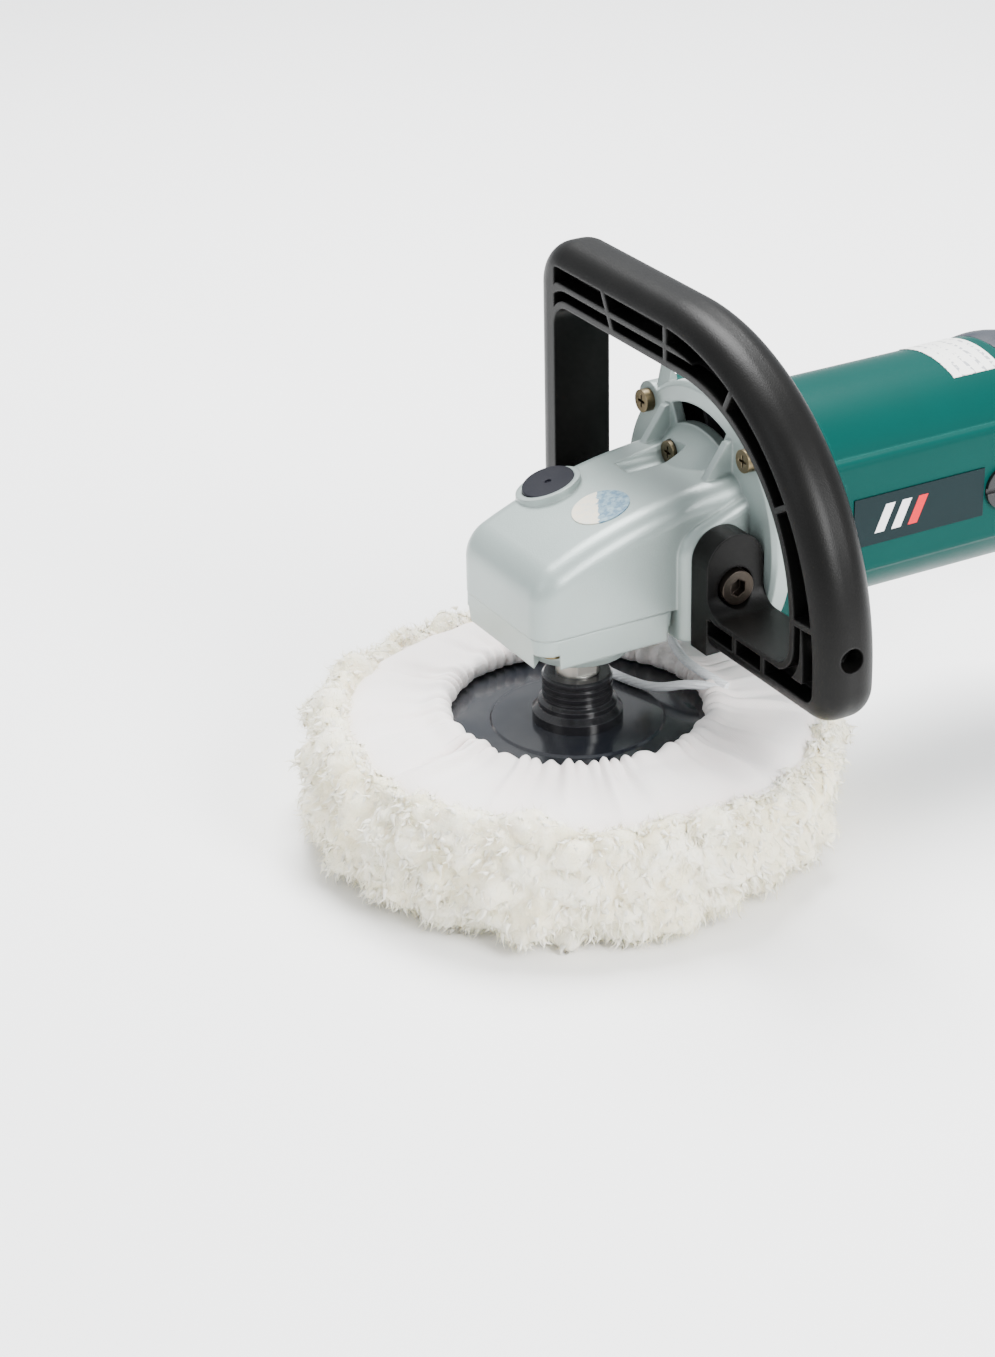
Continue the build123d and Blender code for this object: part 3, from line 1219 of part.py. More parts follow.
save("gear_housing", gear_housing())
save("bearing_box", bearing_box())
save("bearing_box_screws", *[screw.solid() for screw in bearing_box_screws()])
save("gear_housing_screws", *[screw.solid() for screw in gear_housing_screws()])
save("bearing_cover_screw", bearing_cover_screw())
save("bearing_retainer", bearing_retainer())
save("dust_seal", dust_seal())
save("upper_needle_bearing", upper_needle_bearing())
save("front_bearing_retainer", front_bearing_retainer())
save("lower_spindle_bearing", *at_z(ball_bearing(BEARING_BORE, BEARING_OUT, BEARING_W), BEARING_Z))
save("front_motor_bearing", *at_x(ball_bearing(BEARING_BORE, BEARING_OUT, BEARING_W), FRONT_BEARING_X))
save("rear_motor_bearing", *at_x(ball_bearing(REAR_BORE, REAR_OUT, REAR_W, 7), MOTOR_END))
save("round_sticker", round_sticker())

save("shaft_lock_button", shaft_lock_button())
save("shaft_lock_pin", shaft_lock_pin())
save("shaft_lock_spring", shaft_lock_spring())

save("pinion", pinion())
save("armature_shaft", armature_shaft())
save("armature_core", armature_core())
save("armature_windings", *armature_windings())
save("commutator", commutator())
save("cooling_fan", cooling_fan())

save("motor_housing", motor_housing())
save("fan_baffle", fan_baffle())
save("stator_core", stator_core())
save("field_coils", *field_coils())
save("brush_holders", *mirrored(brush_holder()))
save("carbon_brushes", *mirrored(carbon_brush()))
save("brush_springs", *mirrored(brush_spring()))
save("brush_caps", *mirrored(brush_cap()))
save("side_labels", *mirrored(side_label()))
save("top_label", top_label())

save("loop_handle", loop_handle())
save("loop_handle_bolts", *mirrored(loop_handle_bolt()))

whole_tail = tail_shell()
save("tail_handle_left", tail_half(whole_tail, -60, 0))
save("tail_handle_right", tail_half(whole_tail, 0, 60))
save("tail_handle_screws", *tail_handle_screws())
save("trigger", trigger())
save("trigger_pin", trigger_pin())
save("switch_body", switch_body())
save("lock_on_button", lock_on_button())
save("speed_dial", speed_dial())
save("speed_controller", speed_controller())
save("cord_gland", cord_gland())
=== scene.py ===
import math

import bpy
import numpy as np
from mathutils import Matrix, Vector, noise


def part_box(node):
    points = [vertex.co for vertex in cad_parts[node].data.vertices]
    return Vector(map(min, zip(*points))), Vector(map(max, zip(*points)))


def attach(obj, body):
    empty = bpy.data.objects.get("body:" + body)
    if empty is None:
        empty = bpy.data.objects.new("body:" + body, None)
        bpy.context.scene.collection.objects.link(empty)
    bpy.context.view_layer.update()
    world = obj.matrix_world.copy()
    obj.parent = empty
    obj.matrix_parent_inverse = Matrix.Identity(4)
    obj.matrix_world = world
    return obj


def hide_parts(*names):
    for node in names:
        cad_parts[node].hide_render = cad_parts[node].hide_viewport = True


bl_info = {
    "name": "Rotary Polisher",
    "version": (1, 0, 0),
    "blender": (4, 5, 0),
    "location": "View3D > Sidebar > Polisher",
    "description": "Dresses the packed rotary polisher: wool bonnet, castings, mouldings and studio",
    "category": "Object",
}

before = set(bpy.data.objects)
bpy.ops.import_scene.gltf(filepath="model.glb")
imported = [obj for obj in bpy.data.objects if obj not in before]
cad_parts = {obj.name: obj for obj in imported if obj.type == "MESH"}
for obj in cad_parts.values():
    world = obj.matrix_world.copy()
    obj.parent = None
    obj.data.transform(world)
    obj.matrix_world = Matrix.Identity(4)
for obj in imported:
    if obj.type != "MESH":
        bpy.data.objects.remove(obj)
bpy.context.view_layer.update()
MM = 0.001
FLOOR_GAP = 0.0002       # nothing soft comes nearer to the floor than this, in metres
SHARP_ANGLE = 30         # degrees; edges sharper than this stay sharp in the shading
DUST_COLOUR = (0.42, 0.40, 0.36)
MIX_A, MIX_B, MIX_RESULT = 6, 7, 2       # the Mix node's colour sockets


# ---------------------------------------------------------------- what a user would change
def colour_prop(name, description, default):
    """A colour that shows as a swatch in the sidebar."""
    return bpy.props.FloatVectorProperty(
        name=name, description=description, default=default, size=3, min=0, max=1, subtype="COLOR")


def length_prop(name, description, default):
    """A length in metres."""
    return bpy.props.FloatProperty(
        name=name, description=description, default=default, min=0, unit="LENGTH")


def count_prop(name, description, default, least):
    """A whole number of things."""
    return bpy.props.IntProperty(name=name, description=description, default=default, min=least)


class PolisherColours(bpy.types.PropertyGroup):
    """Colours of the finishes."""
    casting: colour_prop("Casting", "Silver-grey enamel on the gearbox castings", (0.27, 0.325, 0.31))
    barrel: colour_prop("Motor barrel", "Teal green moulding around the motor", (0.0, 0.043, 0.037))
    nameplate: colour_prop("Nameplate", "Dark plate on the barrel's flat side", (0.0, 0.009, 0.011))
    loop: colour_prop("Loop handle", "Black moulding of the loop handle", (0.003, 0.0029, 0.0027))
    tail: colour_prop("Tail handle", "Dark blue-grey moulding of the tail handle", (0.012, 0.017, 0.028))
    wool: colour_prop("Wool", "Creamy pile of the bonnet", (0.96, 0.915, 0.77))
    cloth: colour_prop("Cloth", "Off-white cotton skirt of the bonnet", (0.93, 0.865, 0.84))
    cord: colour_prop("Drawstring", "White braid of the drawstring", (0.86, 0.88, 0.90))


class PolisherSizes(bpy.types.PropertyGroup):
    """Sizes of the soft goods and of the surface textures."""
    lump: length_prop("Wool lump", "How far the pile stands out in lumps", 0.0048)
    lock: length_prop("Wool lock", "Length of one lock of wool", 0.0042)
    locks: count_prop("Locks", "Number of wool locks", 5500, 100)
    fibres: count_prop("Fibres", "Number of loose fibres", 32000, 100)
    gathers: count_prop("Gathers", "Small gathers around the hem", 58, 8)
    pleat: length_prop("Pleat", "Height of the gathers at the hem", 0.0026)
    cord: length_prop("Drawstring", "Diameter of the drawstring", 0.0036)


def colours():
    """The colours in the scene's settings."""
    return bpy.context.scene.polisher_colours


def sizes():
    """The sizes in the scene's settings."""
    return bpy.context.scene.polisher_sizes


# ---------------------------------------------------------------- node helpers
def feed(tree, socket, value):
    """Links a socket to another node's output, or sets its own value."""
    if isinstance(value, bpy.types.NodeSocket):
        tree.links.new(value, socket)
    else:
        socket.default_value = value


def put(tree, kind, settings=None, **inputs):
    """Adds a shader node. An input goes by its label, or by its number as i0, i1 and so on."""
    made = tree.nodes.new("ShaderNode" + kind)
    for key, value in (settings or {}).items():
        setattr(made, key, value)
    for name, value in inputs.items():
        numbered = name[0] == "i" and name[1:].isdigit()
        feed(tree, made.inputs[int(name[1:]) if numbered else name], value)
    return made


def ramp(tree, value, stops):
    """Colour ramp through (position, grey or colour) stops."""
    made = put(tree, "ValToRGB", Fac=value)
    elements = made.color_ramp.elements
    while len(elements) < len(stops):
        elements.new(0.5)
    for element, (place, tone) in zip(elements, stops):
        element.position = place
        element.color = (tone, tone, tone, 1) if isinstance(tone, (int, float)) else (*tone, 1)
    return made.outputs["Color"]


def maths(tree, operation, a, b, clamp=False, c=0.0):
    """One Math node's output."""
    return put(tree, "Math", {"operation": operation, "use_clamp": clamp}, i0=a, i1=b, i2=c).outputs[0]


def mix(tree, factor, a, b):
    """Mix of two colours."""
    made = put(tree, "Mix", {"data_type": "RGBA"}, i0=factor)
    for socket, value in ((MIX_A, a), (MIX_B, b)):
        feed(tree, made.inputs[socket], (*value, 1) if isinstance(value, tuple) else value)
    return made.outputs[MIX_RESULT]


def surface_place(tree):
    """Coordinates of the surface in the object's own frame, in metres."""
    return put(tree, "TexCoord").outputs["Object"]


def group(name, inputs, outputs):
    """Starts a shader node group. Sockets are (name, kind, default)."""
    tree = bpy.data.node_groups.new(name, "ShaderNodeTree")
    for label, kind, default in inputs:
        socket = tree.interface.new_socket(label, in_out="INPUT", socket_type="NodeSocket" + kind)
        socket.default_value = default
    for label, kind in outputs:
        tree.interface.new_socket(label, in_out="OUTPUT", socket_type="NodeSocket" + kind)
    return tree, tree.nodes.new("NodeGroupInput").outputs, tree.nodes.new("NodeGroupOutput").inputs


def worn_edges_group():
    """Rounds hard edges in the shading and gives a mask of the edges."""
    tree, given, out = group("worn_edges", [("Radius", "Float", 0.0006), ("Speckle", "Float", 900.0)],
                             [("Normal", "Vector"), ("Edge", "Float")])
    soft = put(tree, "Bevel", {"samples": 4}, Radius=given["Radius"])
    sharp = put(tree, "NewGeometry").outputs["Normal"]
    facing = put(tree, "VectorMath", {"operation": "DOT_PRODUCT"}, i0=soft.outputs[0], i1=sharp)
    grain = put(tree, "TexNoise", Vector=surface_place(tree), Scale=given["Speckle"], Detail=3.0)
    turned_enough = 0.97     # cosine between the rounded and the true normal where an edge begins
    wear = 9.0               # how quickly the mask grows past that
    edge = maths(tree, "SUBTRACT", turned_enough, facing.outputs["Value"], True)
    rough_edge = maths(tree, "MULTIPLY", edge, maths(tree, "MULTIPLY", grain.outputs["Fac"], wear), True)
    tree.links.new(soft.outputs[0], out["Normal"])
    tree.links.new(rough_edge, out["Edge"])
    return tree


def grain_group():
    """Fine moulded or cast grain: a height, and a mask of slow variation."""
    tree, given, out = group("surface_grain", [("Fine", "Float", 2500.0), ("Broad", "Float", 40.0),
                                               ("Stretch", "Vector", (1.0, 1.0, 1.0))],
                             [("Height", "Float"), ("Variation", "Float")])
    place = put(tree, "VectorMath", {"operation": "MULTIPLY"}, i0=surface_place(tree),
                i1=given["Stretch"])
    fine = put(tree, "TexNoise", Vector=place.outputs[0], Scale=given["Fine"], Detail=4.0, Roughness=0.6)
    cells = put(tree, "TexVoronoi", Vector=place.outputs[0], Scale=given["Fine"])
    broad = put(tree, "TexNoise", Vector=place.outputs[0], Scale=given["Broad"], Detail=5.0)
    pits = maths(tree, "MULTIPLY", cells.outputs["Distance"], 0.5)
    height = maths(tree, "ADD", fine.outputs["Fac"], pits)
    tree.links.new(height, out["Height"])
    tree.links.new(broad.outputs["Fac"], out["Variation"])
    return tree


def dust_group():
    """Settled dust: a mask that is stronger on faces that look up."""
    tree, given, out = group("settled_dust", [("Amount", "Float", 0.2), ("Scale", "Float", 60.0)],
                             [("Mask", "Float")])
    up = put(tree, "SeparateXYZ", Vector=put(tree, "NewGeometry").outputs["Normal"]).outputs["Z"]
    patches = put(tree, "TexNoise", Vector=surface_place(tree), Scale=given["Scale"], Detail=6.0)
    lifted = maths(tree, "MULTIPLY_ADD", up, 0.5, c=0.5)
    patchy = maths(tree, "MULTIPLY", lifted,
                   ramp(tree, patches.outputs["Fac"], [(0.4, 0.0), (0.75, 1.0)]))
    tree.links.new(maths(tree, "MULTIPLY", patchy, given["Amount"], True), out["Mask"])
    return tree


def band_group():
    """Mask that is 1 where a value lies between two limits."""
    tree, given, out = group("band", [("Value", "Float", 0.0), ("Low", "Float", 0.0),
                                      ("High", "Float", 1.0)], [("Mask", "Float")])
    over = maths(tree, "GREATER_THAN", given["Value"], given["Low"])
    under = maths(tree, "LESS_THAN", given["Value"], given["High"])
    tree.links.new(maths(tree, "MULTIPLY", over, under), out["Mask"])
    return tree


def effect(tree, name, **inputs):
    """Places one of the shared effects in a material."""
    made = tree.nodes.new("ShaderNodeGroup")
    made.node_tree = bpy.data.node_groups[name]
    for key, value in inputs.items():
        feed(tree, made.inputs[key], value)
    return made.outputs


def colour_over(material, mask, colour):
    """Lays a colour over what already feeds a material's base colour, where the mask is 1."""
    tree = material.node_tree
    socket = tree.nodes["Principled BSDF"].inputs["Base Color"]
    tree.links.new(mix(tree, mask, socket.links[0].from_socket, colour), socket)


def new_material(name):
    """An empty material: its tree, its Principled shader and itself."""
    made = bpy.data.materials.new(name)
    made.use_nodes = True
    tree = made.node_tree
    shader = tree.nodes["Principled BSDF"]
    return made, tree, shader


def moulded(name, base, light, rough=(0.35, 0.5), fine=2500.0, bump=0.00004, edge=0.0006, edge_tint=0.3,
            metallic=0.0, coat=0.0, dust=0.03, stretch=(1, 1, 1), broad=40.0, specular=0.3):
    """Moulded plastic, enamel or metal: grain, slow colour change, worn edges and a little dust."""
    made, tree, shader = new_material(name)
    worn = effect(tree, "worn_edges", Radius=edge)
    grain = effect(tree, "surface_grain", Fine=fine, Broad=broad, Stretch=stretch)
    dusty = effect(tree, "settled_dust", Amount=dust)
    tone = mix(tree, ramp(tree, grain["Variation"], [(0.3, 0.0), (0.7, 1.0)]), base,
               tuple(c * 0.9 for c in base))
    tone = mix(tree, maths(tree, "MULTIPLY", worn["Edge"], edge_tint), tone, light)
    tone = mix(tree, dusty["Mask"], tone, DUST_COLOUR)
    tree.links.new(tone, shader.inputs["Base Color"])
    low, high = rough
    span = maths(tree, "MULTIPLY_ADD", grain["Variation"], high - low, c=low)
    tree.links.new(maths(tree, "ADD", span, maths(tree, "MULTIPLY", dusty["Mask"], 0.5), True),
                   shader.inputs["Roughness"])
    bumped = put(tree, "Bump", Strength=1.0, Distance=bump, Height=grain["Height"], Normal=worn["Normal"])
    tree.links.new(bumped.outputs["Normal"], shader.inputs["Normal"])
    shader.inputs["Metallic"].default_value = metallic
    shader.inputs["Coat Weight"].default_value = coat
    shader.inputs["Coat Roughness"].default_value = 0.12
    shader.inputs["Specular IOR Level"].default_value = specular
    return made


def paint(material, *nodes):
    """Gives CAD nodes a finish, with smooth shading over their curved faces."""
    for name in nodes:
        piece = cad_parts[name]
        piece.data.materials.clear()
        piece.data.materials.append(material)
        piece.data.shade_smooth()
        piece.data.set_sharp_from_angle(angle=math.radians(SHARP_ANGLE))


# ---------------------------------------------------------------- mesh helpers
def head_piece(name, mesh, material):
    """A smooth-shaded object that turns with the polishing head."""
    mesh.materials.append(material)
    mesh.shade_smooth()
    piece = bpy.data.objects.new(name, mesh)
    bpy.context.scene.collection.objects.link(piece)
    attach(piece, "polishing_head")
    return piece


def surface_piece(name, points, faces, material):
    """A piece of the polishing head from lists of points and faces."""
    mesh = bpy.data.meshes.new(name)
    mesh.from_pydata([tuple(p) for p in points], [], faces)
    mesh.validate()
    mesh.update()
    return head_piece(name, mesh, material)


def ring_grid(rows, around):
    """Quads over rows of points that run around an axis."""
    faces = []
    for row in range(rows - 1):
        for k in range(around):
            here, there = row * around + k, row * around + (k + 1) % around
            faces.append((here, there, there + around, here + around))
    return faces


def through(points, count):
    """A smooth line through points in a plane, as count places."""
    ends = [2 * Vector(points[0]) - Vector(points[1])] + [Vector(p) for p in points]
    ends.append(2 * Vector(points[-1]) - Vector(points[-2]))
    spans = len(points) - 1
    places = []
    for n in range(count):
        along = n / (count - 1) * spans
        k = min(int(along), spans - 1)
        t = along - k
        a, b, c, d = ends[k:k + 4]
        places.append(0.5 * ((2 * b) + (c - a) * t + (2 * a - 5 * b + 4 * c - d) * t * t
                             + (3 * b - a - 3 * c + d) * t ** 3))
    return places


def apply_all(piece):
    """Turns a piece's modifiers into its mesh."""
    held = bpy.context.evaluated_depsgraph_get()
    mesh = bpy.data.meshes.new_from_object(piece.evaluated_get(held))
    piece.modifiers.clear()
    piece.data = mesh


# ---------------------------------------------------------------- wool bonnet
WOOL_ROWS, WOOL_AROUND = 84, 540
PILE_INSET = 0.0025      # the dense pile's side stays this far inside the CAD node's
FACE_SHARE = 0.80        # share of the wool's radius that is its flat face
FACE_POINTS = 9
WOOL_EDGE = [            # from the face round to the seam, as shares of the wool's radius and height
    (FACE_SHARE, 0.0), (0.925, 0.09), (0.985, 0.26), (1.0, 0.52), (0.98, 0.84), (0.95, 1.05),
    (0.90, 1.16), (0.845, 1.06),
]
SWELL_RATE, CLUMP_RATE, CURL_RATE = 24, 58, 150      # relief from broad to fine, per metre
CLUMP_SHARE, CURL_SHARE, SUNK_SHARE = 2.2, 0.8, 0.75     # beside the swell's height of 1
LUMPS_FROM, LUMPS_OVER = 0.74, 0.2       # the lumps begin and grow over these shares of the radius
FULLER, FULLER_AT = 0.0022, 196          # the pile is fuller towards this direction, in degrees
PRESSED, PRESSED_AT = 0.0040, 292        # and pressed in towards this one
FACE_STRANDS = 0.12      # share of strands on the flat face
LOCK_WIDTH, FIBRE_WIDTH = 0.0020, 0.00019
FIBRE_REACH = 1.15       # a loose fibre's length in locks
STRAND_ROWS = 4          # rings of points along a strand
ROOT_SCATTER, ROOT_DEPTH = 0.0009, 0.0012
FALL, SWIRL, SPREAD = 0.55, 0.30, 0.42   # how far strands lean down, round and at random
DROOP = 0.22             # how far a strand's tip sinks, as a share of its length


def wool_box():
    """Radius and height of the dense pile, a little inside the CAD node's."""
    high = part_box("wool_bonnet")[1]
    return high.x - PILE_INSET, high.z


def wool_profile(count):
    """Outside of the wool from the middle of the face to the seam, as (radius, height)."""
    radius, top = wool_box()
    flat = [Vector((radius * FACE_SHARE * n / FACE_POINTS, 0.0)) for n in range(FACE_POINTS)]
    edge = [(radius * across, top * up) for across, up in WOOL_EDGE]
    return flat + through(edge, count - FACE_POINTS)


def lumps(place, amount):
    """How far the pile stands out at a place: broad swells, with clumps and curls on them."""
    swell = noise.noise(place * SWELL_RATE)
    clump = abs(noise.noise(place * CLUMP_RATE + Vector((3, 1, 7)))) * CLUMP_SHARE
    curl = abs(noise.noise(place * CURL_RATE + Vector((9, 4, 2)))) * CURL_SHARE
    return amount * (swell + clump + curl - SUNK_SHARE)


def wool_surface(rows, around):
    """Points and outward directions over the lumpy outside of the wool."""
    radius = wool_box()[0]
    line = wool_profile(rows)
    amount = sizes().lump
    points, normals = [], []
    for row, (r, z) in enumerate(line):
        before, after = line[max(row - 1, 0)], line[min(row + 1, rows - 1)]
        tangent = (after - before).normalized()
        out = Vector((tangent.y, -tangent.x))
        side = min(1.0, max(0.0, (r - radius * LUMPS_FROM) / (radius * LUMPS_OVER)))
        for k in range(around):
            turn = math.tau * k / around
            c, s = math.cos(turn), math.sin(turn)
            place = Vector((r * c, r * s, z))
            normal = Vector((out.x * c, out.x * s, out.y))
            fuller = FULLER * math.cos(turn - math.radians(FULLER_AT))
            pressed = PRESSED * max(0.0, math.cos(turn - math.radians(PRESSED_AT))) ** 2
            shift = (lumps(place, amount) + fuller - pressed) * side
            place = place + normal * shift
            place.z = max(place.z, FLOOR_GAP)
            points.append(place)
            normals.append(normal)
    return points, normals


def wool_material():
    """Creamy wool: soft colour change in patches, fine curl bump and sheen."""
    made, tree, shader = new_material("wool_pile")
    base = tuple(colours().wool)
    spots = put(tree, "TexNoise", Vector=surface_place(tree), Scale=55.0, Detail=6.0)
    tone = mix(tree, ramp(tree, spots.outputs["Fac"], [(0.35, 0.0), (0.65, 1.0)]), base,
               (base[0] * 0.93, base[1] * 0.90, base[2] * 0.80))
    tree.links.new(tone, shader.inputs["Base Color"])
    curl = put(tree, "TexNoise", Vector=surface_place(tree), Scale=900.0, Detail=5.0, Distortion=1.5)
    bumped = put(tree, "Bump", Strength=0.8, Distance=0.0008, Height=curl.outputs["Fac"])
    tree.links.new(bumped.outputs["Normal"], shader.inputs["Normal"])
    shader.inputs["Roughness"].default_value = 1.0
    shader.inputs["Specular IOR Level"].default_value = 0.1
    shader.inputs["Sheen Weight"].default_value = 0.5
    shader.inputs["Sheen Roughness"].default_value = 0.5
    shader.inputs["Sheen Tint"].default_value = (1.0, 0.97, 0.9, 1)
    shader.inputs["Subsurface Weight"].default_value = 0.35
    shader.inputs["Subsurface Radius"].default_value = (0.006, 0.005, 0.004)
    shader.inputs["Subsurface Scale"].default_value = 1.0
    return made


def fibre_material():
    """Single strands and locks of wool."""
    made, tree, shader = new_material("wool_fibre")
    base = tuple(colours().wool)
    spots = put(tree, "TexNoise", Vector=surface_place(tree), Scale=70.0, Detail=3.0)
    tone = mix(tree, spots.outputs["Fac"], tuple(min(1.0, c * 1.06) for c in base),
               (base[0] * 0.96, base[1] * 0.93, base[2] * 0.84))
    tree.links.new(tone, shader.inputs["Base Color"])
    shader.inputs["Roughness"].default_value = 0.9
    shader.inputs["Specular IOR Level"].default_value = 0.15
    shader.inputs["Sheen Weight"].default_value = 0.4
    shader.inputs["Subsurface Weight"].default_value = 0.5
    shader.inputs["Subsurface Radius"].default_value = (0.005, 0.0045, 0.0035)
    shader.inputs["Subsurface Scale"].default_value = 1.0
    return made


def strands(points, normals, weights, count, length, width, sides, seed, curl, lay):
    """Tapered, curled strands rooted on a surface. sides is 2 for flat fibres, 3 for locks."""
    rng = np.random.RandomState(seed)
    base = np.array([tuple(p) for p in points])
    out = np.array([tuple(n) for n in normals])
    chance = np.array(weights, float)
    picks = rng.choice(len(base), count, p=chance / chance.sum())
    root, grow = base[picks], out[picks]
    root = root + rng.normal(0, ROOT_SCATTER, root.shape)
    down = np.tile([0.0, 0.0, -1.0], (count, 1))
    swirl = np.stack([-root[:, 1], root[:, 0], np.zeros(count)], 1)
    swirl /= np.maximum(np.linalg.norm(swirl, axis=1, keepdims=True), 1e-6)
    drift = np.sin(root[:, :1] * 190 + 1) + np.sin(root[:, 1:2] * 160 + root[:, 2:3] * 240)
    heading = grow + lay * (FALL * down + SWIRL * swirl * drift) + rng.normal(0, SPREAD, root.shape)
    heading /= np.linalg.norm(heading, axis=1, keepdims=True)
    side = np.cross(heading, rng.normal(0, 1, root.shape))
    side /= np.linalg.norm(side, axis=1, keepdims=True)
    third = np.cross(heading, side)
    reach = length * rng.uniform(0.55, 1.15, (count, 1))
    phase = rng.uniform(0, math.tau, (count, 1))
    verts = np.zeros((count, STRAND_ROWS, sides, 3))
    for row in range(STRAND_ROWS):
        t = row / (STRAND_ROWS - 1)
        bend = curl * reach * t * t
        middle = root - ROOT_DEPTH * grow + heading * reach * t
        middle += side * bend * np.cos(phase + 2.6 * t) + third * bend * np.sin(phase + 2.6 * t)
        middle += down * reach * DROOP * t * t
        thick = width * (1 - 0.93 * t ** 1.4) * (0.75 + 0.5 * math.sin(math.pi * min(1, t + 0.3)))
        for k in range(sides):
            angle = math.tau * k / sides
            offset = side * math.cos(angle) + third * math.sin(angle)
            verts[:, row, k] = middle + offset * thick / 2
    verts[..., 2] = np.maximum(verts[..., 2], FLOOR_GAP)
    first = (np.arange(count) * STRAND_ROWS * sides)[:, None]
    quads = []
    for row in range(STRAND_ROWS - 1):
        for k in range(sides if sides > 2 else 1):
            a, b = row * sides + k, row * sides + (k + 1) % sides
            quads.append(np.concatenate([first + a, first + b, first + b + sides, first + a + sides], 1))
    return verts.reshape(-1, 3), np.concatenate(quads)


def strand_piece(name, verts, quads, material):
    """A piece of wool from arrays, which is quick for many strands."""
    mesh = bpy.data.meshes.new(name)
    mesh.vertices.add(len(verts))
    mesh.vertices.foreach_set("co", verts.astype(np.float32).ravel())
    mesh.loops.add(quads.size)
    mesh.loops.foreach_set("vertex_index", quads.astype(np.int32).ravel())
    mesh.polygons.add(len(quads))
    mesh.polygons.foreach_set("loop_start", np.arange(0, quads.size, 4, dtype=np.int32))
    mesh.update(calc_edges=True)
    return head_piece(name, mesh, material)


class POLISHER_OT_wool(bpy.types.Operator):
    """Builds the lumpy wool pile with its locks and loose fibres"""
    bl_idname = "polisher.wool"
    bl_label = "Wool pile"

    def execute(self, context):
        points, normals = wool_surface(WOOL_ROWS, WOOL_AROUND)
        pile = surface_piece("wool_pile", points, ring_grid(WOOL_ROWS, WOOL_AROUND), wool_material())
        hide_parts("wool_bonnet")
        radius = wool_box()[0]
        weights = []
        for place in points:
            r = math.hypot(place.x, place.y)
            on_face = r < radius * FACE_SHARE and place.z < MM
            weights.append(FACE_STRANDS * r / radius if on_face else r / radius)
        fibre = fibre_material()
        verts, quads = strands(points, normals, weights, sizes().locks, sizes().lock, LOCK_WIDTH,
                               sides=3, seed=4, curl=0.55, lay=1.1)
        strand_piece("wool_locks", verts, quads, fibre)
        verts, quads = strands(points, normals, weights, sizes().fibres, sizes().lock * FIBRE_REACH,
                               FIBRE_WIDTH, sides=2, seed=9, curl=0.9, lay=0.8)
        strand_piece("wool_fibres", verts, quads, fibre)
        return {"FINISHED"}


# ---------------------------------------------------------------- cloth skirt
SKIRT_ROWS, SKIRT_AROUND = 54, 900
SKIRT_LINE = [           # from under the hem, over its roll and out to the seam, in mm over its base
    (52.6, 0.9), (50.2, 1.3), (48.8, 3.6), (49.6, 6.2), (52.2, 7.5), (55.4, 6.7), (59.0, 5.7),
    (65.0, 5.6), (72.0, 5.4), (79.0, 4.6), (84.5, 2.8), (88.5, -0.4), (90.5, -4.0),
]
SKIRT_LIFT = 0.0015      # the skirt's base stands this far over the CAD node's
SKIRT_LOWEST = 0.0438    # no part of the cloth goes lower than this
HEM_TURNED, HEM_CALM = 0.16, 0.12        # shares of the rows under the hem, and with weaker pleats
FOLDS_FROM = 0.046       # radius where folds and puffs begin
PUFF, PUFF_RATE = 0.0012, 34             # soft unevenness of the cloth, and how often it changes per metre
DEEPEST_FOLD = -0.0035
CLOTH_THICK = 0.0007


def cloth_line(count):
    """Section of the skirt, as count places of (radius, height)."""
    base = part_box("bonnet_cloth")[0].z + SKIRT_LIFT
    return through([(r * MM, base + z * MM) for r, z in SKIRT_LINE], count)


def cloth_material():
    """Fine cotton cloth: a plain weave, soft creases and a little sheen."""
    made, tree, shader = new_material("cotton_cloth")
    base = tuple(colours().cloth)
    place = surface_place(tree)
    warp = put(tree, "TexWave", {"bands_direction": "X"}, Vector=place, Scale=420.0, Distortion=0.6)
    weft = put(tree, "TexWave", {"bands_direction": "Y"}, Vector=place, Scale=420.0, Distortion=0.6)
    weave = maths(tree, "MAXIMUM", warp.outputs["Fac"], weft.outputs["Fac"])
    spots = put(tree, "TexNoise", Vector=place, Scale=38.0, Detail=6.0)
    tone = mix(tree, ramp(tree, spots.outputs["Fac"], [(0.35, 0.0), (0.7, 1.0)]), base,
               (base[0] * 0.97, base[1] * 0.93, base[2] * 0.92))
    tone = mix(tree, maths(tree, "MULTIPLY", maths(tree, "SUBTRACT", 1.0, weave), 0.14), tone,
               tuple(c * 0.7 for c in base))
    tree.links.new(tone, shader.inputs["Base Color"])
    crease = put(tree, "TexNoise", Vector=place, Scale=180.0, Detail=4.0, Distortion=0.8)
    height = maths(tree, "ADD", maths(tree, "MULTIPLY", weave, 0.35), crease.outputs["Fac"])
    bumped = put(tree, "Bump", Strength=0.6, Distance=0.0004, Height=height)
    tree.links.new(bumped.outputs["Normal"], shader.inputs["Normal"])
    shader.inputs["Roughness"].default_value = 0.95
    shader.inputs["Specular IOR Level"].default_value = 0.2
    shader.inputs["Sheen Weight"].default_value = 0.35
    shader.inputs["Subsurface Weight"].default_value = 0.2
    shader.inputs["Subsurface Radius"].default_value = (0.003, 0.002, 0.002)
    shader.inputs["Subsurface Scale"].default_value = 1.0
    return made


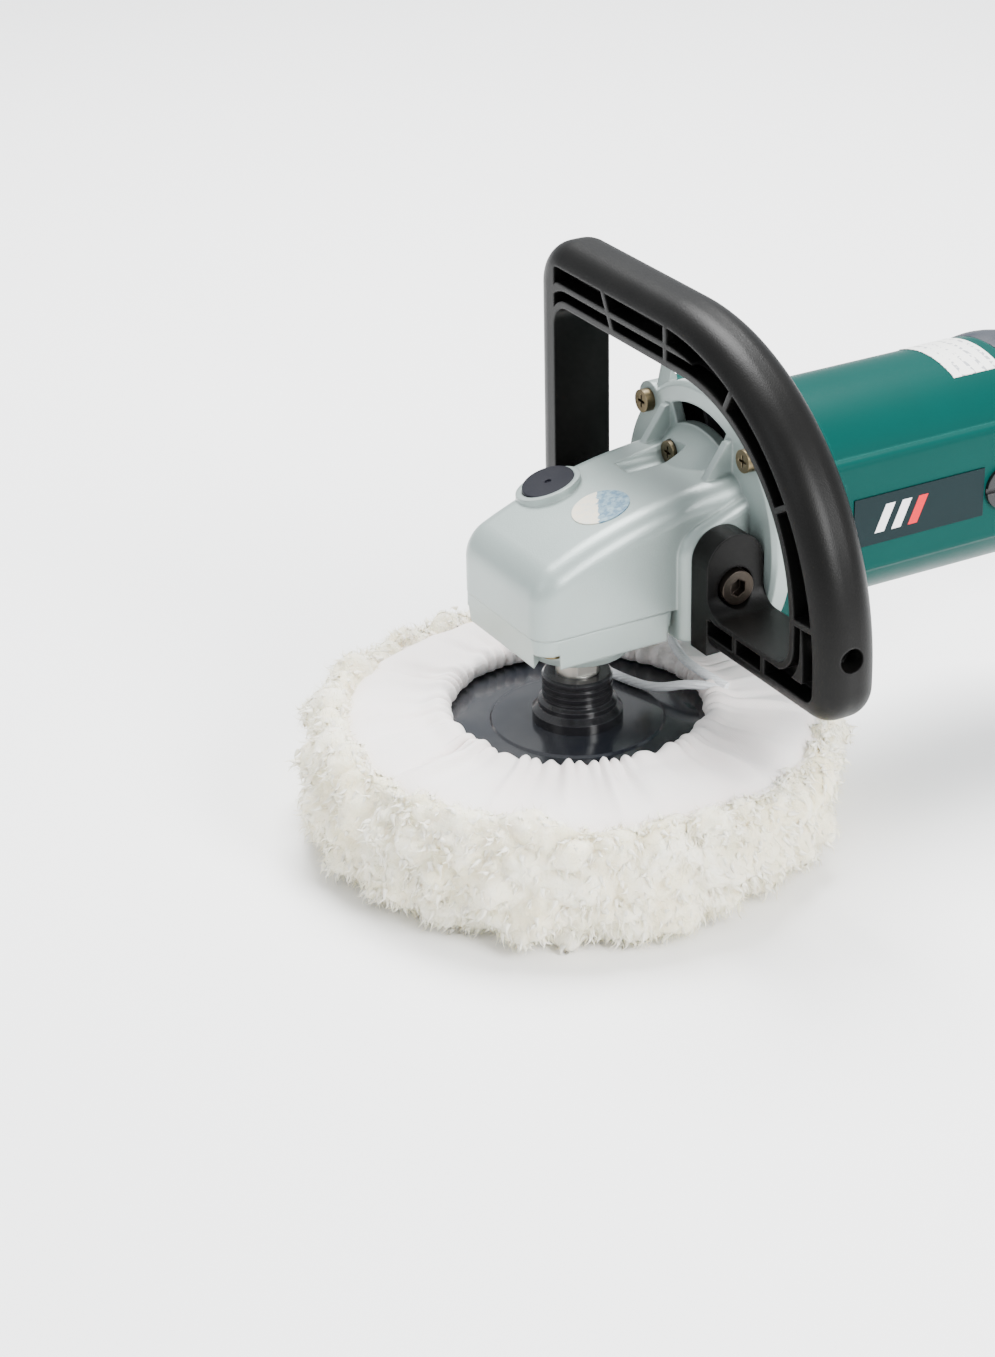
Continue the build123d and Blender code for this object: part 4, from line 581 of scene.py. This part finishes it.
def gather(turn, radius):
    """Height of the pleats about 0: crisp at the hem, soft and wide further out."""
    place = Vector((math.cos(turn), math.sin(turn), 0))
    drift = noise.noise(place * 2.3) * 2.2 + noise.noise(place * 6.1) * 0.7
    skew = (radius - FOLDS_FROM) * 11 * noise.noise(place * 1.7 + Vector((5, 0, 0)))
    fine = 1 - 1.7 * abs(math.cos(sizes().gathers / 2 * (turn + skew * 0.25) + drift * 2)) ** 1.6
    wide = 1 - 1.8 * abs(math.cos(sizes().gathers / 6 * (turn + skew * 0.5) + drift)) ** 1.4
    near = math.exp(-max(0.0, radius - 0.052) / 0.010)
    mid = math.exp(-((radius - 0.066) / 0.015) ** 2)
    strength = 0.7 + 0.6 * noise.noise(place * 3.4 + Vector((0, 7, 0)))
    return strength * (0.62 * near * fine + 0.85 * mid * wide)


class POLISHER_OT_cloth(bpy.types.Operator):
    """Builds the gathered cloth skirt of the bonnet"""
    bl_idname = "polisher.cloth"
    bl_label = "Cloth skirt"

    def execute(self, context):
        line = cloth_line(SKIRT_ROWS)
        points = []
        pleat = sizes().pleat
        for row, (r, z) in enumerate(line):
            before, after = line[max(row - 1, 0)], line[min(row + 1, SKIRT_ROWS - 1)]
            tangent = (after - before).normalized()
            out = Vector((-tangent.y, tangent.x))
            if row < SKIRT_ROWS * HEM_TURNED:
                out = Vector((-1.0, 0.25))
            for k in range(SKIRT_AROUND):
                turn = math.tau * k / SKIRT_AROUND
                c, s = math.cos(turn), math.sin(turn)
                rise = pleat * gather(turn, r) * min(1.0, row / (SKIRT_ROWS * HEM_CALM))
                soft = noise.noise(Vector((c * r, s * r, 0)) * PUFF_RATE)
                lift = max(rise + PUFF * soft * min(1, (r - FOLDS_FROM) / 0.02), DEEPEST_FOLD)
                rr, zz = r + out.x * lift, z + out.y * lift
                points.append((rr * c, rr * s, max(zz, SKIRT_LOWEST)))
        skirt = surface_piece("cloth_skirt", points, ring_grid(SKIRT_ROWS, SKIRT_AROUND),
                              cloth_material())
        thick = skirt.modifiers.new("thickness", "SOLIDIFY")
        thick.thickness = CLOTH_THICK
        thick.offset = -1.0
        apply_all(skirt)
        skirt.data.shade_smooth()
        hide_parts("bonnet_cloth")
        return {"FINISHED"}


# ---------------------------------------------------------------- drawstring
CORD_ROUTE = [           # out of the hem, round beside the hub and back into the hem, in metres
    (0.0535, -0.0205, 0.0495),
    (0.0435, -0.0125, 0.0518),
    (0.0335, -0.0010, 0.0466),
    (0.0282, 0.0140, 0.0462),
    (0.0245, 0.0310, 0.0466),
    (0.0270, 0.0485, 0.0542),
    (0.0385, 0.0615, 0.0552),
    (0.0540, 0.0575, 0.0552),
    (0.0600, 0.0415, 0.0550),
    (0.0560, 0.0250, 0.0548),
    (0.0495, 0.0100, 0.0546),
    (0.0470, -0.0055, 0.0542),
    (0.0530, -0.0205, 0.0508),
]


def cord_material():
    """White braided cotton cord."""
    made, tree, shader = new_material("braid")
    base = tuple(colours().cord)
    place = surface_place(tree)
    braid = put(tree, "TexWave", {"bands_direction": "DIAGONAL"}, Vector=place, Scale=330.0,
                Distortion=2.0)
    cross = put(tree, "TexVoronoi", Vector=place, Scale=1300.0)
    tone = mix(tree, maths(tree, "MULTIPLY", braid.outputs["Fac"], 0.25), base,
               tuple(c * 0.78 for c in base))
    tree.links.new(tone, shader.inputs["Base Color"])
    threads = maths(tree, "MULTIPLY", cross.outputs["Distance"], 0.6)
    height = maths(tree, "ADD", braid.outputs["Fac"], threads)
    bumped = put(tree, "Bump", Strength=0.7, Distance=0.0003, Height=height)
    tree.links.new(bumped.outputs["Normal"], shader.inputs["Normal"])
    shader.inputs["Roughness"].default_value = 0.85
    shader.inputs["Sheen Weight"].default_value = 0.3
    return made


class POLISHER_OT_drawstring(bpy.types.Operator):
    """Builds the bonnet's drawstring as one smooth cord"""
    bl_idname = "polisher.drawstring"
    bl_label = "Drawstring"

    def execute(self, context):
        curve = bpy.data.curves.new("drawstring_cord", "CURVE")
        curve.dimensions = "3D"
        spline = curve.splines.new("NURBS")
        spline.points.add(len(CORD_ROUTE) - 1)
        for point, place in zip(spline.points, CORD_ROUTE):
            point.co = (*place, 1)
        spline.order_u = 3
        spline.use_endpoint_u = True
        spline.resolution_u = 12
        curve.bevel_depth = sizes().cord / 2
        curve.bevel_resolution = 5
        curve.use_fill_caps = True
        curve.materials.append(cord_material())
        cord = bpy.data.objects.new("drawstring_cord", curve)
        context.scene.collection.objects.link(cord)
        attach(cord, "polishing_head")
        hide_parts("drawstring")
        return {"FINISHED"}


# ---------------------------------------------------------------- backing pad and spindle
class POLISHER_OT_pad(bpy.types.Operator):
    """Finishes the rubber pad, its hub, the spindle and the clamp nut"""
    bl_idname = "polisher.pad"
    bl_label = "Backing pad and spindle"

    def execute(self, context):
        rubber = moulded("pad_rubber", (0.012, 0.014, 0.019), (0.05, 0.055, 0.07), rough=(0.10, 0.24),
                         fine=900.0, bump=0.00002, dust=0.05, coat=0.4, broad=70.0)
        paint(rubber, "backing_pad")
        hub = moulded("hub_black", (0.008, 0.008, 0.010), (0.06, 0.06, 0.06), rough=(0.14, 0.3),
                      fine=1600.0, bump=0.00002, dust=0.03, coat=0.3)
        paint(hub, "pad_hub")
        steel = moulded("turned_steel", (0.55, 0.54, 0.50), (0.8, 0.8, 0.78), rough=(0.22, 0.38),
                        fine=500.0, bump=0.00002, metallic=1.0, dust=0.02, stretch=(1, 1, 14))
        paint(steel, "spindle", "pad_nut", "pad_washer", "gear_retaining_ring")
        return {"FINISHED"}


# ---------------------------------------------------------------- gearbox castings
class POLISHER_OT_castings(bpy.types.Operator):
    """Finishes the gear housing, the bearing box, the shaft lock and the sticker"""
    bl_idname = "polisher.castings"
    bl_label = "Gearbox castings"

    def execute(self, context):
        alloy = moulded("cast_enamel", tuple(colours().casting), (0.66, 0.70, 0.68), rough=(0.30, 0.42),
                        fine=1500.0, bump=0.00005, edge=0.0014, edge_tint=0.25, metallic=0.25, coat=0.15,
                        dust=0.02, broad=26.0, specular=0.5)
        paint(alloy, "gear_housing", "bearing_box")
        cap = moulded("lock_cap", (0.004, 0.0045, 0.009), (0.03, 0.03, 0.05), rough=(0.4, 0.5),
                      fine=2600.0, bump=0.00003, dust=0.01, specular=0.1)
        paint(cap, "shaft_lock_button")
        paint(sticker_material(), "round_sticker")
        return {"FINISHED"}


SPLIT_X, SPLIT_Y = 0.87, -0.49           # the direction across the sticker's two halves
SPLIT_SHIFT = 0.001      # how far the line between them is off the middle


def sticker_material():
    """Round paper sticker: a blue half and a faded cream half, with a rubbed line between them."""
    made, tree, shader = new_material("worn_sticker")
    low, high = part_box("round_sticker")
    middle = (low + high) / 2
    place = surface_place(tree)
    parts = put(tree, "SeparateXYZ", Vector=place)
    across = maths(tree, "ADD", maths(tree, "MULTIPLY", parts.outputs["X"], SPLIT_X),
                   maths(tree, "MULTIPLY", parts.outputs["Y"], SPLIT_Y))
    scuff = put(tree, "TexNoise", Vector=place, Scale=420.0, Detail=8.0, Roughness=0.7)
    wobble = maths(tree, "MULTIPLY", maths(tree, "SUBTRACT", scuff.outputs["Fac"], 0.5), 0.006)
    split = maths(tree, "GREATER_THAN", maths(tree, "ADD", across, wobble),
                  SPLIT_X * middle.x + SPLIT_Y * middle.y - SPLIT_SHIFT)
    blue = mix(tree, ramp(tree, scuff.outputs["Fac"], [(0.42, 0.0), (0.62, 1.0)]), (0.055, 0.13, 0.20),
               (0.20, 0.30, 0.34))
    cream = mix(tree, ramp(tree, scuff.outputs["Fac"], [(0.45, 0.0), (0.6, 1.0)]), (0.62, 0.56, 0.44),
                (0.52, 0.53, 0.47))
    tree.links.new(mix(tree, split, cream, blue), shader.inputs["Base Color"])
    shader.inputs["Roughness"].default_value = 0.45
    return made


# ---------------------------------------------------------------- fasteners
class POLISHER_OT_fasteners(bpy.types.Operator):
    """Finishes the screws and bolts"""
    bl_idname = "polisher.fasteners"
    bl_label = "Fasteners"

    def execute(self, context):
        brassy = moulded("passivated_screw", (0.14, 0.11, 0.06), (0.5, 0.42, 0.28), rough=(0.22, 0.45),
                         fine=1800.0, bump=0.00003, metallic=1.0, dust=0.1)
        paint(brassy, "bearing_box_screws", "gear_housing_screws", "bearing_cover_screw",
              "tail_handle_screws")
        dark = moulded("black_oxide", (0.035, 0.028, 0.022), (0.25, 0.2, 0.16), rough=(0.25, 0.42),
                       fine=1800.0, bump=0.00003, metallic=0.9, dust=0.08)
        paint(dark, "loop_handle_bolts")
        return {"FINISHED"}


# ---------------------------------------------------------------- mouldings
class POLISHER_OT_loop(bpy.types.Operator):
    """Finishes the loop handle"""
    bl_idname = "polisher.loop"
    bl_label = "Loop handle"

    def execute(self, context):
        black = moulded("loop_black", tuple(colours().loop), (0.05, 0.05, 0.05), rough=(0.34, 0.46),
                        fine=1900.0, bump=0.00005, edge=0.0012, dust=0.004, broad=30.0, specular=0.13)
        paint(black, "loop_handle")
        return {"FINISHED"}


STRIPE_LEAN = 0.45       # how far a stripe slants along the plate as it rises
STRIPE_START = 0.20      # share of the plate's length before the stripes
STRIPE_REACH = 0.55      # share of the plate's half height that they cover
STRIPE_PITCH, STRIPE_WIDTH = 0.0075, 0.0042
STRIPE_COLOURS = ((0.8, 0.8, 0.8), (0.8, 0.8, 0.8), (0.6, 0.01, 0.02))
PRINT_COLOUR = (0.35, 0.36, 0.38)
WHOLE = 2.0              # over any noise or wave value, so that a band has no upper limit


class POLISHER_OT_motor(bpy.types.Operator):
    """Finishes the motor barrel, its brush caps and its plates"""
    bl_idname = "polisher.motor"
    bl_label = "Motor barrel"

    def execute(self, context):
        green = moulded("barrel_green", tuple(colours().barrel), (0.05, 0.26, 0.23), rough=(0.32, 0.44),
                        fine=2400.0, bump=0.00003, edge=0.0016, dust=0.0, broad=22.0, specular=0.06)
        paint(green, "motor_housing")
        plate = moulded("nameplate", tuple(colours().nameplate), (0.0, 0.03, 0.03), rough=(0.36, 0.4),
                        fine=2400.0, bump=0.000005, edge=0.0003, edge_tint=0.05, dust=0.0, specular=0.12)
        self.stripes(plate)
        paint(plate, "side_labels")
        white = moulded("white_label", (0.80, 0.80, 0.77), (0.9, 0.9, 0.9), rough=(0.35, 0.5),
                        fine=1500.0, bump=0.00001, edge=0.0002, dust=0.0)
        self.print_lines(white)
        paint(white, "top_label")
        cap = moulded("brush_cap", (0.010, 0.010, 0.011), (0.07, 0.07, 0.07), rough=(0.3, 0.45))
        paint(cap, "brush_caps")
        return {"FINISHED"}

    def stripes(self, material):
        """Three slanted speed stripes, two white and one red."""
        tree = material.node_tree
        low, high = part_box("side_labels")
        middle, half = (low.z + high.z) / 2, (high.z - low.z) / 2
        place = put(tree, "SeparateXYZ", Vector=surface_place(tree))
        slant = maths(tree, "MULTIPLY", place.outputs["Z"], STRIPE_LEAN)
        lean = maths(tree, "SUBTRACT", place.outputs["X"], slant)
        start = low.x + STRIPE_START * (high.x - low.x) - STRIPE_LEAN * middle
        rows = effect(tree, "band", Value=place.outputs["Z"], Low=middle - STRIPE_REACH * half,
                      High=middle + STRIPE_REACH * half)
        for n, colour in enumerate(STRIPE_COLOURS):
            edge = start + n * STRIPE_PITCH
            bar = effect(tree, "band", Value=lean, Low=edge, High=edge + STRIPE_WIDTH)
            colour_over(material, maths(tree, "MULTIPLY", bar["Mask"], rows["Mask"]), colour)

    def print_lines(self, material):
        """Faint grey dashes in rows, like small print that can't be read."""
        tree = material.node_tree
        place = surface_place(tree)
        rows = put(tree, "TexWave", {"bands_direction": "X"}, Vector=place, Scale=62.0)
        words = put(tree, "TexNoise", Vector=place, Scale=650.0, Detail=0.0)
        line = effect(tree, "band", Value=rows.outputs["Fac"], Low=0.8, High=WHOLE)
        word = effect(tree, "band", Value=words.outputs["Fac"], Low=0.52, High=WHOLE)
        colour_over(material, maths(tree, "MULTIPLY", line["Mask"], word["Mask"]), PRINT_COLOUR)


class POLISHER_OT_tail(bpy.types.Operator):
    """Finishes the tail handle and its controls"""
    bl_idname = "polisher.tail"
    bl_label = "Tail handle"

    def execute(self, context):
        shell = moulded("tail_shell", tuple(colours().tail), (0.09, 0.10, 0.12), rough=(0.38, 0.52),
                        fine=1700.0, bump=0.00006, edge=0.0008, dust=0.08)
        paint(shell, "tail_handle_left", "tail_handle_right")
        black = moulded("control_black", (0.010, 0.010, 0.011), (0.06, 0.06, 0.06), rough=(0.3, 0.48))
        paint(black, "trigger", "lock_on_button", "speed_dial", "switch_body", "speed_controller",
              "fan_baffle")
        rubber = moulded("gland_rubber", (0.012, 0.012, 0.012), (0.05, 0.05, 0.05), rough=(0.55, 0.7))
        paint(rubber, "cord_gland")
        return {"FINISHED"}


# ---------------------------------------------------------------- inner workings
class POLISHER_OT_workings(bpy.types.Operator):
    """Finishes the gears, bearings and motor inside"""
    bl_idname = "polisher.workings"
    bl_label = "Inner workings"

    def execute(self, context):
        gear = moulded("gear_steel", (0.32, 0.32, 0.33), (0.6, 0.6, 0.6), rough=(0.25, 0.4), metallic=1.0)
        paint(gear, "bevel_gear", "pinion", "armature_shaft", "shaft_lock_pin", "trigger_pin",
              "bearing_retainer", "front_bearing_retainer")
        bright = moulded("bearing_steel", (0.62, 0.62, 0.62), (0.8, 0.8, 0.8), rough=(0.12, 0.25),
                         metallic=1.0)
        paint(bright, "lower_spindle_bearing", "front_motor_bearing", "rear_motor_bearing",
              "upper_needle_bearing", "shaft_lock_spring", "brush_springs")
        stack = moulded("laminations", (0.25, 0.25, 0.26), (0.5, 0.5, 0.5), rough=(0.35, 0.5),
                        metallic=0.9, stretch=(60, 1, 1), fine=60.0, bump=0.0001)
        paint(stack, "stator_core", "armature_core")
        wire = moulded("varnished_wire", (0.38, 0.11, 0.03), (0.7, 0.3, 0.1), rough=(0.2, 0.35), coat=0.6,
                       stretch=(1, 30, 1), fine=120.0, bump=0.0002)
        paint(wire, "field_coils", "armature_windings")
        copper = moulded("copper_bars", (0.72, 0.36, 0.2), (0.9, 0.6, 0.4), rough=(0.18, 0.3),
                         metallic=1.0)
        paint(copper, "commutator")
        brass = moulded("brass_guides", (0.70, 0.50, 0.22), (0.9, 0.75, 0.4), rough=(0.25, 0.4),
                        metallic=1.0)
        paint(brass, "brush_holders")
        carbon = moulded("carbon", (0.02, 0.02, 0.02), (0.1, 0.1, 0.1), rough=(0.6, 0.8))
        paint(carbon, "carbon_brushes")
        fan = moulded("fan_nylon", (0.03, 0.03, 0.032), (0.1, 0.1, 0.1), rough=(0.4, 0.55))
        paint(fan, "cooling_fan")
        felt = moulded("felt", (0.28, 0.26, 0.23), (0.4, 0.38, 0.35), rough=(0.9, 1.0), bump=0.0003,
                       fine=900.0)
        paint(felt, "dust_seal")
        return {"FINISHED"}


# ---------------------------------------------------------------- studio
CAMERA_AZIMUTH, CAMERA_ELEVATION, CAMERA_ROLL = -28.9, 26.9, -1.2     # degrees
CAMERA_PLACE = (-0.523, -0.886, 0.582)
CAMERA_LENS, CAMERA_SENSOR = 82.24, 36   # millimetres
CAMERA_NEAR = 0.01
FLOOR_HALF = 6.0         # half the floor's width
SKY_COLOUR, SKY_STRENGTH = (0.93, 0.96, 1.0, 1), 1.05
LIGHTS_AIM = (0.06, -0.02, 0.08)


def studio_light(name, place, size, power, colour=(1, 1, 1)):
    """Square area light that looks at the polisher. The power is in watts."""
    data = bpy.data.lights.new(name, "AREA")
    data.energy, data.size, data.color = power, size, colour
    lamp = bpy.data.objects.new(name, data)
    bpy.context.scene.collection.objects.link(lamp)
    lamp.location = place
    lamp.rotation_euler = (Vector(LIGHTS_AIM) - Vector(place)).to_track_quat("-Z", "Y").to_euler()


class POLISHER_OT_stage(bpy.types.Operator):
    """Sets up the pale floor, the soft lights and the camera"""
    bl_idname = "polisher.stage"
    bl_label = "Studio"

    def execute(self, context):
        scene = context.scene
        made, tree, shader = new_material("studio_floor")
        speck = put(tree, "TexNoise", Vector=surface_place(tree), Scale=6.0, Detail=3.0)
        tone = mix(tree, speck.outputs["Fac"], (0.90, 0.90, 0.90), (0.93, 0.93, 0.925))
        tree.links.new(tone, shader.inputs["Base Color"])
        shader.inputs["Roughness"].default_value = 0.8
        mesh = bpy.data.meshes.new("floor")
        corners = ((-1, -1), (1, -1), (1, 1), (-1, 1))
        mesh.from_pydata([(x * FLOOR_HALF, y * FLOOR_HALF, 0) for x, y in corners], [], [(0, 1, 2, 3)])
        mesh.materials.append(made)
        floor = bpy.data.objects.new("floor", mesh)
        floor.location.z = -FLOOR_GAP
        scene.collection.objects.link(floor)

        world = bpy.data.worlds.new("studio")
        world.use_nodes = True
        sky = world.node_tree.nodes["Background"]
        sky.inputs["Color"].default_value = SKY_COLOUR
        sky.inputs["Strength"].default_value = SKY_STRENGTH
        scene.world = world
        studio_light("key", (0.35, -1.3, 0.95), size=0.6, power=46)
        studio_light("side", (-1.3, -0.2, 0.9), size=0.6, power=4, colour=(0.95, 0.98, 1.0))
        studio_light("top", (0.3, 0.6, 1.7), size=1.0, power=105)

        camera = bpy.data.objects.new("camera", bpy.data.cameras.new("camera"))
        scene.collection.objects.link(camera)
        a, e, r = (math.radians(v) for v in (CAMERA_AZIMUTH, CAMERA_ELEVATION, CAMERA_ROLL))
        right = Vector((math.cos(a), math.sin(a), 0))
        back = Vector((math.sin(a) * math.cos(e), -math.cos(a) * math.cos(e), math.sin(e)))
        up = back.cross(right)
        side = right * math.cos(r) + up * math.sin(r)
        above = up * math.cos(r) - right * math.sin(r)
        turned = Matrix((side, above, back)).transposed().to_4x4()
        camera.matrix_world = Matrix.Translation(CAMERA_PLACE) @ turned
        camera.data.lens = CAMERA_LENS
        camera.data.sensor_width = CAMERA_SENSOR
        camera.data.clip_start = CAMERA_NEAR
        scene.camera = camera
        return {"FINISHED"}


# ---------------------------------------------------------------- sidebar and registration
OPERATORS = (
    POLISHER_OT_stage, POLISHER_OT_castings, POLISHER_OT_fasteners, POLISHER_OT_loop, POLISHER_OT_motor,
    POLISHER_OT_tail, POLISHER_OT_workings, POLISHER_OT_pad, POLISHER_OT_wool, POLISHER_OT_cloth,
    POLISHER_OT_drawstring,
)


class POLISHER_PT_panel(bpy.types.Panel):
    """Lists the polisher's pieces and settings"""
    bl_label = "Rotary Polisher"
    bl_idname = "POLISHER_PT_panel"
    bl_space_type = "VIEW_3D"
    bl_region_type = "UI"
    bl_category = "Polisher"

    def draw(self, context):
        layout = self.layout
        for settings in (context.scene.polisher_colours, context.scene.polisher_sizes):
            box = layout.box()
            for name in settings.__annotations__:
                box.prop(settings, name)
        for operator in OPERATORS:
            layout.operator(operator.bl_idname)


CLASSES = (PolisherColours, PolisherSizes, *OPERATORS, POLISHER_PT_panel)


def register():
    """Registers the classes and hangs the settings on the scene."""
    for cls in CLASSES:
        bpy.utils.register_class(cls)
    bpy.types.Scene.polisher_colours = bpy.props.PointerProperty(type=PolisherColours)
    bpy.types.Scene.polisher_sizes = bpy.props.PointerProperty(type=PolisherSizes)


def unregister():
    """Takes away what register added."""
    del bpy.types.Scene.polisher_sizes
    del bpy.types.Scene.polisher_colours
    for cls in reversed(CLASSES):
        bpy.utils.unregister_class(cls)


def main():
    """Builds the effects and every piece."""
    register()
    for build in (worn_edges_group, grain_group, dust_group, band_group):
        build()
    bpy.ops.polisher.stage()
    bpy.ops.polisher.castings()
    bpy.ops.polisher.fasteners()
    bpy.ops.polisher.loop()
    bpy.ops.polisher.motor()
    bpy.ops.polisher.tail()
    bpy.ops.polisher.workings()
    bpy.ops.polisher.pad()
    bpy.ops.polisher.wool()
    bpy.ops.polisher.cloth()
    bpy.ops.polisher.drawstring()


if __name__ == "__main__":
    main()
